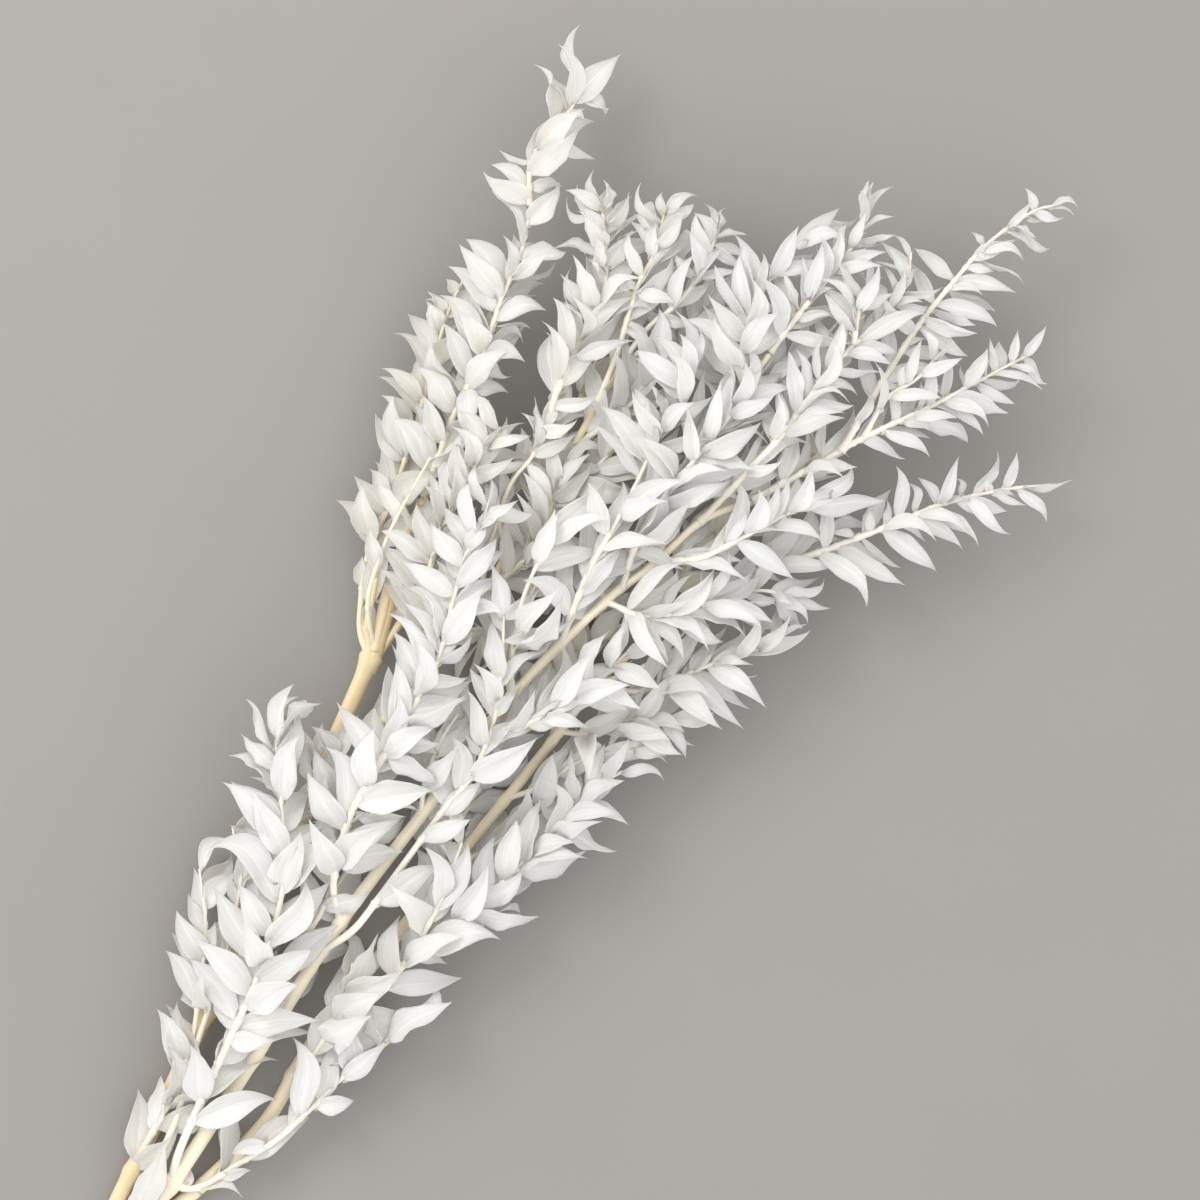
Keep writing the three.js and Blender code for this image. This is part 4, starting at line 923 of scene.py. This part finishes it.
def middle_line(leaf, f, crisp, random, root):
    """The blade's rib: arched, curled, hooked a little aside, and drawn to the stalk."""
    bow = f ** 3 - f
    snake = 6.75 * f ** 2 * (1 - f)  # 1 at its highest, past the middle
    hook = 4 * f ** 3 * (1 - f)  # the same, near the tip
    bend = (leaf.arch * 4 * f * (1 - f) + leaf.curl * bow
            + stray(random, SNAKE_UP, crisp) * snake
            + stray(random, HOOK_UP, crisp) * hook)
    aside = (leaf.hook * bow + stray(random, SNAKE_ASIDE, crisp) * snake
             + stray(random, HOOK_ASIDE, crisp) * hook)
    return (leaf.at + leaf.long * (leaf.ahead * f + leaf.normal * bend + leaf.across * aside)
            + (root - leaf.at) * (1 - f) ** 2)


def twist_of(f, crisp, random):
    """How far the blade turns about its rib: as a whole, along it, and again near the tip."""
    return (stray(random, TURNED, crisp)
            + stray(random, TWISTED, crisp) * (f - 0.35)
            + stray(random, TIP_TWISTED, crisp) * np.maximum(f - 0.5, 0))


def relief_of(leaf, f, g, width, crisp, random):
    """The blade's height over a flat one: its fold, its rippled rims, its veins and its rib."""
    fold = leaf.fold + MORE_FOLD * random.random() ** 2 + CRISP_FOLD * crisp * random.random()
    shape = random.uniform(*FOLD_SHAPE)
    rise = fold * np.abs(g) ** shape * (0.75 + 0.5 * f)
    waves = random.uniform(*WAVES)
    phase = random.uniform(0, 2 * np.pi, 2)
    ripple = random.uniform(*RIPPLE) * np.abs(g) ** 2.5 * np.sin(
        2 * np.pi * waves * f + np.where(g > 0, phase[0], phase[1]))
    veins = np.where(np.arange(g.size) % 2 == 1, VEIN, -VEIN)[None, :] * (1 - g ** 4)
    groove = -RIB * np.exp(-(g / 0.08) ** 2)
    return width * (rise + ripple) + (veins + groove) * np.minimum(width / VEINED_HALF, 1)


def blade_shape(leaf, grid, root):
    """The leaf's upper side: a point for every share of its length and of its breadth."""
    random = np.random.default_rng(leaf.seed)
    f = grid.along[:, None]
    g = grid.across[None, :]
    crisp = np.clip((LARGE - leaf.long) / (LARGE - SMALL), 0, 1)  # small leaves dry harder
    width = half_breadth(leaf, f, crisp, random)
    middle = middle_line(leaf, f, crisp, random, root)
    twist = twist_of(f, crisp, random)
    sideways = leaf.across * np.cos(twist) + leaf.normal * np.sin(twist)
    upward = leaf.normal * np.cos(twist) - leaf.across * np.sin(twist)
    height = relief_of(leaf, f, g, width, crisp, random)
    return (middle[:, None, :] + sideways[:, None, :] * (width * g)[:, :, None]
            + upward[:, None, :] * height[:, :, None])


def surface_normals(points):
    """The direction away from a sheet at each of its points."""
    normals = np.cross(np.gradient(points, axis=0), np.gradient(points, axis=1))
    return normals / np.maximum(np.linalg.norm(normals, axis=2, keepdims=True), 1e-9)


def blade_solid(leaf, grid, root):
    """A leaf's points on both sides, above the floor, for the faces of its grid."""
    points = blade_shape(leaf, grid, root)
    f = grid.along[:, None]
    g = grid.across[None, :]
    thick = (BLADE_THICK * np.sqrt(1 - g ** 2) * (1 - TIP_THINNER * f)
             + RIB_THICK * np.exp(-(g / RIB_HALF) ** 2) * (1 - f))
    under = points - surface_normals(points) * thick[:, :, None]
    points[:, :, 2] = np.maximum(points[:, :, 2], FLOOR_ROOM + thick)
    under[:, :, 2] = np.maximum(under[:, :, 2], FLOOR_ROOM)
    tip = leaf.at + leaf.ahead * leaf.long
    tip[2] = max(tip[2], FLOOR_ROOM)
    return np.vstack([points.reshape(-1, 3), under[1:, 1:-1].reshape(-1, 3), [tip]])


# ---------------------------------------------------------------- meshes

def new_object(name, data):
    """A mesh, a camera or a lamp, put into the scene."""
    added = bpy.data.objects.new(name, data)
    bpy.context.scene.collection.objects.link(added)
    return added


class Shell:
    """Points and faces gathered for one piece, with what its materials read."""

    def __init__(self):
        self.points = []
        self.faces = []
        self.map = []
        self.tone = []
        self.slots = []
        self.size = 0

    def add(self, points, faces, where, tone, slot):
        self.points.append(placed(points))
        self.faces.extend(tuple(v + self.size for v in face) for face in faces)
        self.map.append(where)
        self.tone.append(np.full(len(points), tone))
        self.slots.extend([slot] * len(faces))
        self.size += len(points)

    def build(self, name, materials):
        mesh = bpy.data.meshes.new(name)
        mesh.from_pydata(np.vstack(self.points).tolist(), [], self.faces)
        mesh.polygons.foreach_set("material_index", self.slots)
        mesh.polygons.foreach_set("use_smooth", [True] * len(self.faces))
        where = np.vstack(self.map)
        corners = np.zeros(len(mesh.loops), int)
        mesh.loops.foreach_get("vertex_index", corners)
        layer = mesh.uv_layers.new(name="run")
        layer.data.foreach_set("uv", where[corners].ravel())
        tone = mesh.attributes.new("tone", "FLOAT", "POINT")
        tone.data.foreach_set("value", np.concatenate(self.tone))
        for material in materials:
            mesh.materials.append(material)
        return new_object(name, mesh)


def tube_faces(count, sides):
    """The faces of a closed tube of so many rings."""
    faces = []
    for i in range(count - 1):
        for j in range(sides):
            a, b = i * sides + j, i * sides + (j + 1) % sides
            faces.append((a, b, b + sides, a + sides))
    faces.append(tuple(reversed(range(sides))))
    faces.append(tuple((count - 1) * sides + j for j in range(sides)))
    return faces


def tube(line, radii, sides, grooves=None):
    """A closed tube round a line: its points, its faces, and the map (round it, along it)."""
    tangents = np.gradient(line.points, axis=0)
    tangents /= np.linalg.norm(tangents, axis=1, keepdims=True)
    rings = []
    where = []
    turns = np.arange(sides) * 2 * np.pi / sides
    for centre, along, radius, reach in zip(line.points, tangents, radii, line.reach):
        relief = np.ones(sides) if grooves is None else grooves(turns, reach)
        rings.append(centre + round_of(along, turns) * (radius * relief)[:, None])
        run = np.full(sides, reach * MM * RUN_RATE)
        where.append(np.stack([turns / (2 * np.pi), run], axis=1))
    return np.vstack(rings), tube_faces(len(rings), sides), np.vstack(where)


# ---------------------------------------------------------------- finishes

def linear(rgb):
    """A colour given as 0 to 255 on screen, for a shader."""
    return tuple(((c / 255 + 0.055) / 1.055) ** 2.4 if c > 10 else c / 3294 for c in rgb) + (1,)


class Nodes:
    """Short calls for building one node tree."""

    def __init__(self, tree):
        self.tree = tree

    def add(self, kind, **values):
        node = self.tree.nodes.new(kind)
        for name, value in values.items():
            setattr(node, name, value)
        return node

    def link(self, start, end):
        self.tree.links.new(start, end)

    def math(self, operation, a, b=None):
        node = self.add("ShaderNodeMath", operation=operation)
        self.link(a, node.inputs[0])
        if isinstance(b, float):
            node.inputs[1].default_value = b
        elif b is not None:
            self.link(b, node.inputs[1])
        return node.outputs[0]

    def times(self, value, factor):
        return self.math("MULTIPLY", value, factor)

    def mix(self, share, a, b):
        """Two colours mixed: each from a socket, or given as 0 to 255 on screen."""
        node = self.add("ShaderNodeMix", data_type="RGBA")
        self.link(share, node.inputs[0])
        for socket, colour in zip(node.inputs[6:8], (a, b)):
            if isinstance(colour, tuple):
                socket.default_value = linear(colour)
            else:
                self.link(colour, socket)
        return node.outputs[2]

    def tone(self):
        """What a piece's points say of their colour, from 0 to 1."""
        return self.add("ShaderNodeAttribute", attribute_name="tone").outputs["Fac"]

    def run(self):
        """A piece's map: across or round it, and along it."""
        split = self.add("ShaderNodeSeparateXYZ")
        self.link(self.add("ShaderNodeUVMap", uv_map="run").outputs[0], split.inputs[0])
        return split.outputs[0], split.outputs[1]


def new_material(name, rough=0.5):
    """A material with a plain shader, and the calls that build on it."""
    material = bpy.data.materials.new(name)
    material.use_nodes = True
    material.node_tree.nodes.clear()
    nodes = Nodes(material.node_tree)
    shader = nodes.add("ShaderNodeBsdfPrincipled")
    out = nodes.add("ShaderNodeOutputMaterial")
    nodes.link(shader.outputs[0], out.inputs[0])
    shader.inputs["Roughness"].default_value = rough
    return material, nodes, shader


def group(name, inputs, outputs):
    """An empty node group with float sockets, and its two ends."""
    tree = bpy.data.node_groups.new(name, "ShaderNodeTree")
    for label, value in inputs.items():
        socket = tree.interface.new_socket(
            label, in_out="INPUT", socket_type="NodeSocketFloat")
        socket.default_value = value
    for label in outputs:
        tree.interface.new_socket(label, in_out="OUTPUT", socket_type="NodeSocketFloat")
    nodes = Nodes(tree)
    return tree, nodes, nodes.add("NodeGroupInput"), nodes.add("NodeGroupOutput")


def fibre_group():
    """Fine fibres that run along a piece: noise drawn out along its map."""
    tree, nodes, given, out = group(
        "fibres", {"Round": 30.0, "Along": 1.0, "Detail": 3.0}, ["Fibre"])
    across, along = nodes.run()
    join = nodes.add("ShaderNodeCombineXYZ")
    nodes.link(nodes.times(across, given.outputs["Round"]), join.inputs[0])
    nodes.link(nodes.times(along, given.outputs["Along"]), join.inputs[1])
    nodes.link(nodes.times(nodes.tone(), APART), join.inputs[2])
    noise = nodes.add("ShaderNodeTexNoise")
    noise.inputs["Scale"].default_value = 1
    nodes.link(join.outputs[0], noise.inputs["Vector"])
    nodes.link(given.outputs["Detail"], noise.inputs["Detail"])
    nodes.link(noise.outputs[0], out.inputs["Fibre"])
    return tree


def fibres(nodes, tree, round_count, along_count, detail=3.0):
    """The fibre effect in a material: how many lie round a piece, and along its map."""
    node = nodes.add("ShaderNodeGroup", node_tree=tree)
    node.inputs["Round"].default_value = round_count
    node.inputs["Along"].default_value = along_count
    node.inputs["Detail"].default_value = detail
    return node.outputs["Fibre"]


def bump(nodes, shader, height, strength, distance):
    """Fine relief, from a value that gives its height."""
    node = nodes.add("ShaderNodeBump")
    node.inputs["Strength"].default_value = strength
    node.inputs["Distance"].default_value = distance
    nodes.link(height, node.inputs["Height"])
    nodes.link(node.outputs[0], shader.inputs["Normal"])


def ramp(nodes, value, low, high):
    """From 0 to 1 between two values, softly."""
    node = nodes.add("ShaderNodeMapRange", interpolation_type="SMOOTHSTEP")
    nodes.link(value, node.inputs["Value"])
    node.inputs["From Min"].default_value = low
    node.inputs["From Max"].default_value = high
    return node.outputs["Result"]


def rim_highlight_and_rib(nodes):
    """Two masks from the map across a blade: 1 at its rims, for a painted highlight there, and 1 on
    its rib.
    """
    across = nodes.run()[0]
    aside = nodes.math("ABSOLUTE", nodes.math("SUBTRACT", across, 0.5))
    return ramp(nodes, aside, *RIM_HIGHLIGHT_MASK), ramp(nodes, aside, *RIB_MASK)


def leaf_material(fibre):
    """Bleached leaf: cool white to cream from leaf to leaf, the cream partly painted shade on the
    twigs that lie low or behind; veins along it, a paler rib, and a painted highlight along the
    rims."""
    material, nodes, shader = new_material("bleached_leaf")
    veins = fibres(nodes, fibre, 15.0, 1.1)
    cloud = fibres(nodes, fibre, 2.5, 2.0, 2.0)
    rims, rib = rim_highlight_and_rib(nodes)
    # white to cream by each leaf's tone; the cream is partly painted shade on the low and hidden
    # twigs
    leaf = nodes.mix(nodes.tone(), LEAF_WHITE, LEAF_CREAM)
    shaded = nodes.mix(nodes.times(veins, 0.8), leaf, LEAF_VEINS)
    blotched = nodes.mix(nodes.times(cloud, 0.3), shaded, LEAF_CLOUD)
    ribbed = nodes.mix(nodes.times(rib, 0.6), blotched, LEAF_RIB)
    # a painted highlight along the rims
    nodes.link(nodes.mix(rims, ribbed, LEAF_RIM_HIGHLIGHT), shader.inputs["Base Color"])
    rough = nodes.math("ADD", nodes.times(veins, 0.2), 0.3)
    nodes.link(rough, shader.inputs["Roughness"])
    shader.inputs["Subsurface Weight"].default_value = 0.9
    shader.inputs["Subsurface Radius"].default_value = (1.0, 0.98, 0.94)
    shader.inputs["Subsurface Scale"].default_value = 0.9 * MM
    bump(nodes, shader, veins, 0.8, 0.6 * MM)
    return material


def stalk_material(fibre):
    """The twigs' own stalks: smooth ivory, yellower on the twigs that lie low or behind, which is
    partly painted shade.
    """
    material, nodes, shader = new_material("ivory_stalk", 0.45)
    streaks = fibres(nodes, fibre, 6.0, 3.0)
    # ivory by the twig's tone, which is partly painted shade
    ivory = nodes.mix(nodes.tone(), STALK_WHITE, STALK_IVORY)
    streaked = nodes.mix(nodes.times(streaks, 0.3), ivory, STALK_STREAKS)
    nodes.link(streaked, shader.inputs["Base Color"])
    bump(nodes, shader, streaks, 0.4, 0.3 * MM)
    return material


def cane_material(fibre):
    """Dried woody cane: straw to tan from cane to cane, the tan partly painted shade on the canes
    that lie in shade, with tan streaks along it.
    """
    material, nodes, shader = new_material("straw_cane", 0.5)
    streaks = fibres(nodes, fibre, 14.0, 1.2, 4.0)
    patches = fibres(nodes, fibre, 2.0, 0.8, 2.0)
    # straw to tan by each cane's tone; the tan is partly painted shade
    straw = nodes.mix(nodes.tone(), CANE_STRAW, CANE_TAN)
    streaked = nodes.mix(nodes.times(streaks, 0.4), straw, CANE_STREAKS)
    patched = nodes.mix(nodes.times(patches, 0.4), streaked, CANE_PATCHES)
    nodes.link(patched, shader.inputs["Base Color"])
    bump(nodes, shader, streaks, 0.6, 0.5 * MM)
    return material


def cut_material():
    """The sawn end: tan bark, pale wood, white pith."""
    material, nodes, shader = new_material("cut_wood", 0.8)
    outward = nodes.run()[0]
    wood = nodes.mix(ramp(nodes, outward, *PITH_EDGE), CUT_PITH, CUT_WOOD)
    barked = nodes.mix(ramp(nodes, outward, *BARK_EDGE), wood, CUT_BARK)
    nodes.link(barked, shader.inputs["Base Color"])
    return material


def floor_material():
    """Pale grey, faintly clouded."""
    material, nodes, shader = new_material("pale_floor", 0.85)
    noise = nodes.add("ShaderNodeTexNoise")
    noise.inputs["Scale"].default_value = 9
    noise.inputs["Detail"].default_value = 4
    where = nodes.add("ShaderNodeTexCoord")
    nodes.link(where.outputs["Object"], noise.inputs["Vector"])
    clouded = nodes.mix(nodes.times(noise.outputs[0], 0.5), FLOOR_LIGHT, FLOOR_DARK)
    nodes.link(clouded, shader.inputs["Base Color"])
    return material


# ---------------------------------------------------------------- the stem's pieces

def grooved(phases, broad_at):
    """The relief round a cane: ribs along it, and a broader place at a given distance."""
    def profile(turns, reach):
        sway = 0.15 * np.sin(reach / 31 + phases[0])
        broad = bulge(reach - broad_at, CUP_BROADER, CUP_LENGTH)
        return (1 + 0.022 * np.sin(9 * turns + phases[1] + sway)
                + 0.014 * np.sin(15 * turns + phases[2] - sway)
                + 0.02 * np.sin(3 * turns + phases[3] + reach / 60)
                + broad * np.cos(2 * turns))
    return profile


def bulge(apart, height, length):
    """A soft swelling, for distances from its middle."""
    return height * np.exp(-(apart / length) ** 2)


def rounding(reach, length):
    """What a round end leaves of the radius, for distances from it."""
    share = np.clip(reach / length, 0, 1)
    return np.sqrt(np.maximum(1 - (1 - share) ** 2, 0.02))


def joint_swelling(line, cane, joints):
    """How far a cane swells where something grows from it."""
    swelling = np.zeros(len(line.reach))
    for joint, height, length in joints:
        apart = np.linalg.norm(line.points - joint, axis=1)
        middle = line.reach[np.argmin(apart)]
        if apart.min() < NEAR_JOINT * cane.start and middle > 1:
            swelling = np.maximum(swelling, bulge(line.reach - middle, height, length))
    return swelling


def cane_radii(line, cane, joints):
    """The cane's taper: flared at its foot, swollen where something grows from it, with faint
    rings, and rounded at its end."""
    radii = cane.start + (cane.end - cane.start) * (line.reach / line.total) ** 1.6
    if cane in LIMBS:
        swelling = bulge(line.reach, *LIMB_FLARE)
        radii *= rounding(line.reach, cane.start)
    else:
        swelling = joint_swelling(line, cane, joints)
        if cane.name != "foot":
            swelling += bulge(line.reach, *CANE_FLARE)
    for ring in np.arange(RING_STEP, line.total - RING_STEP / 2, RING_STEP):
        swelling += bulge(line.reach - ring, RING_RISE, RING_LENGTH)
    return radii * (1 + swelling) * rounding(line.total - line.reach, 1.2 * cane.end)


def cut_face(shell, line, radius):
    """The sawn end: bark, wood and pith, told apart by the map from the middle outwards."""
    along = line.place(0)[1]
    turns = np.arange(CANE_SIDES) * 2 * np.pi / CANE_SIDES
    ring = round_of(along, turns)
    centre = line.points[0] - along * 0.15
    points = np.vstack([centre + ring * radius * 0.99, centre + ring * radius * 0.5, [centre]])
    points[:, 2] = np.maximum(points[:, 2], 0)
    outward = np.concatenate([np.full(CANE_SIDES, 1.0), np.full(CANE_SIDES, 0.5), [0]])
    faces = []
    for j in range(CANE_SIDES):
        k = (j + 1) % CANE_SIDES
        faces.append((k, j, CANE_SIDES + j, CANE_SIDES + k))
        faces.append((CANE_SIDES + k, CANE_SIDES + j, 2 * CANE_SIDES))
    where = np.stack([outward, np.append(np.tile(turns, 2), 0)], axis=1)
    shell.add(points, faces, where, 0.5, 1)


def all_joints():
    """Where the canes swell: the place, how high, and over what length."""
    joints = [(fork, *FORK_KNUCKLE) for fork in (CROTCH, LOW_FORK, LEFT_FORK, MIDDLE_FORK)]
    joints.append((UPPER_FORK, *CUP_KNUCKLE))
    joints += [(twig.route[0], *TWIG_KNUCKLE) for twig in TWIGS]
    return [(np.array(place, float), height, length) for place, height, length in joints]


def build_wood(fibre):
    """The woody stem: every cane and limb, and the sawn end."""
    shell = Shell()
    joints = all_joints()
    for index, cane in enumerate(CANES + LIMBS):
        line = evenly(Line(smooth_line(cane.route, 16)), CANE_SPACING)
        random = np.random.default_rng(index)
        radii = cane_radii(line, cane, joints)
        broad_at = line.total if cane.name == "left" else NOWHERE
        relief = grooved(random.uniform(0, 6.28, 4), broad_at)
        points, faces, where = tube(line, radii, CANE_SIDES, relief)
        points[:, 2] = np.maximum(points[:, 2], 0)
        # each cane's tan, partly painted shade
        shell.add(points, faces, where, TAN_AND_PAINTED_SHADE.get(cane.name, PALE), 0)
        if cane.name == "foot":
            cut_face(shell, line, radii[0])
    piece = shell.build("wood", [cane_material(fibre), cut_material()])
    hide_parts("stem")
    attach(piece, "root")


def twig_radii(line, knuckles):
    """A twig's taper, with a knuckle at each leaf's foot and a flare at its own."""
    share = line.reach / line.total
    base = TWIG_BASE + TWIG_GAIN * line.total
    radii = (base + (TWIG_TIP - base) * share ** 1.5) * (1 - 0.15 * share)
    swelling = bulge(line.reach, *TWIG_FLARE)
    for distance in knuckles:
        swelling = np.maximum(swelling, bulge(line.reach - distance, *LEAF_KNUCKLE))
    return radii * (1 + swelling)


def scale_under(leaf, along, radius):
    """The small dry scale in whose corner a leaf grows."""
    outward = unit(leaf.ahead - along * leaf.ahead.dot(along))
    ahead = unit(along + 0.45 * outward)
    normal = unit(outward - ahead * outward.dot(ahead))
    return leaf._replace(
        at=leaf.at + outward * radius * 0.6 - along * 1.5, ahead=ahead, normal=normal,
        across=np.cross(normal, ahead), long=SCALE_LONG, half=SCALE_HALF, fold=0.4,
        arch=0, curl=0, hook=0)


def add_spray(shell, twig, leaves, cream):
    """One twig with its leaves and their scales."""
    line = evenly(Line(smooth_line(twig.route, 8)), TWIG_SPACING)
    feet = [int(np.argmin(np.linalg.norm(line.points - leaf.at, axis=1))) for leaf in leaves]
    radii = twig_radii(line, line.reach[feet])
    for leaf, foot in zip(leaves, feet):
        random = np.random.default_rng(leaf.seed)
        # the twig's cream, partly painted shade, with a random spread from leaf to leaf
        tone = np.clip(random.normal(cream, TONE_SPREAD), 0, 1)
        hidden = leaf.seed % TWIG_SEEDS >= HIDDEN_ORDER
        grid = PLAIN_BLADE if hidden else BLADE
        solid = blade_solid(leaf, grid, line.points[foot])
        shell.add(solid, grid.faces, grid.where, tone, 0)
        if not hidden:
            along = line.place(line.reach[foot])[1]
            scale = scale_under(leaf, along, radii[foot])
            solid = blade_solid(scale, SCALE, scale.at)
            shell.add(solid, SCALE.faces, SCALE.where, SCALE_TONE, 2)
    points, faces, where = tube(line, radii, TWIG_SIDES)
    shell.add(points, faces, where, cream, 1)


def by_node(twigs, first_seed):
    """The twigs of each node, each with its seed."""
    rows = {}
    for index, twig in enumerate(twigs):
        rows.setdefault(twig.node, []).append((first_seed + index, twig))
    return rows


def build_twigs(fibre):
    """The leafy twigs, one piece for each node."""
    materials = [leaf_material(fibre), stalk_material(fibre), cane_material(fibre)]
    rows = by_node(TWIGS, 1)
    inner = by_node(INNER, 1 + len(TWIGS))
    for node, leaves in all_leaves(rows, inner).items():
        shell = Shell()
        for _, twig in rows[node] + inner.get(node, []):
            own = [leaf for bearer, leaf in leaves if bearer is twig]
            add_spray(shell, twig, own, CREAM_AND_PAINTED_SHADE.get(node, WHITE))
        piece = shell.build(f"leafy_{node}", materials)
        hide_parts(f"twig_{node}")
        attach(piece, "root")


# ---------------------------------------------------------------- the studio

def build_floor():
    """The floor that the stem lies on."""
    half = FLOOR_HALF
    mesh = bpy.data.meshes.new("floor")
    mesh.from_pydata([(-half, -half, 0), (half, -half, 0), (half, half, 0), (-half, half, 0)],
                     [], [(0, 1, 2, 3)])
    mesh.materials.append(floor_material())
    floor = new_object("floor", mesh)


def build_camera():
    """Straight above, turned so that the stem leans to the view's upper right."""
    data = bpy.data.cameras.new("camera")
    data.sensor_width = SENSOR
    data.lens = SENSOR * (CAMERA_HEIGHT - VIEW_CENTRE[2]) / VIEW_WIDTH
    camera = new_object("camera", data)
    camera.location = placed((VIEW_CENTRE[0], VIEW_CENTRE[1], CAMERA_HEIGHT))
    camera.rotation_euler = (0, 0, math.atan2(-VIEW_UP[0], VIEW_UP[1]))
    bpy.context.scene.camera = camera


def build_light():
    """An even studio, and one large soft lamp from the view's upper left."""
    world = bpy.data.worlds.new("studio")
    world.use_nodes = True
    background = world.node_tree.nodes["Background"]
    background.inputs["Color"].default_value = (1, 1, 1, 1)
    background.inputs["Strength"].default_value = WORLD_LIGHT
    bpy.context.scene.world = world
    data = bpy.data.lights.new("key", "AREA")
    data.size = KEY_SIZE
    data.energy = KEY_POWER
    data.color = KEY_COLOUR
    lamp = new_object("key", data)
    centre = placed(VIEW_CENTRE)
    lamp.location = centre + KEY_FROM
    lamp.rotation_euler = (Vector(centre) - lamp.location).to_track_quat("-Z", "Y").to_euler()
    bpy.context.scene.view_settings.view_transform = "Standard"


build_floor()
build_camera()
build_light()
fibre_tree = fibre_group()
build_wood(fibre_tree)
build_twigs(fibre_tree)
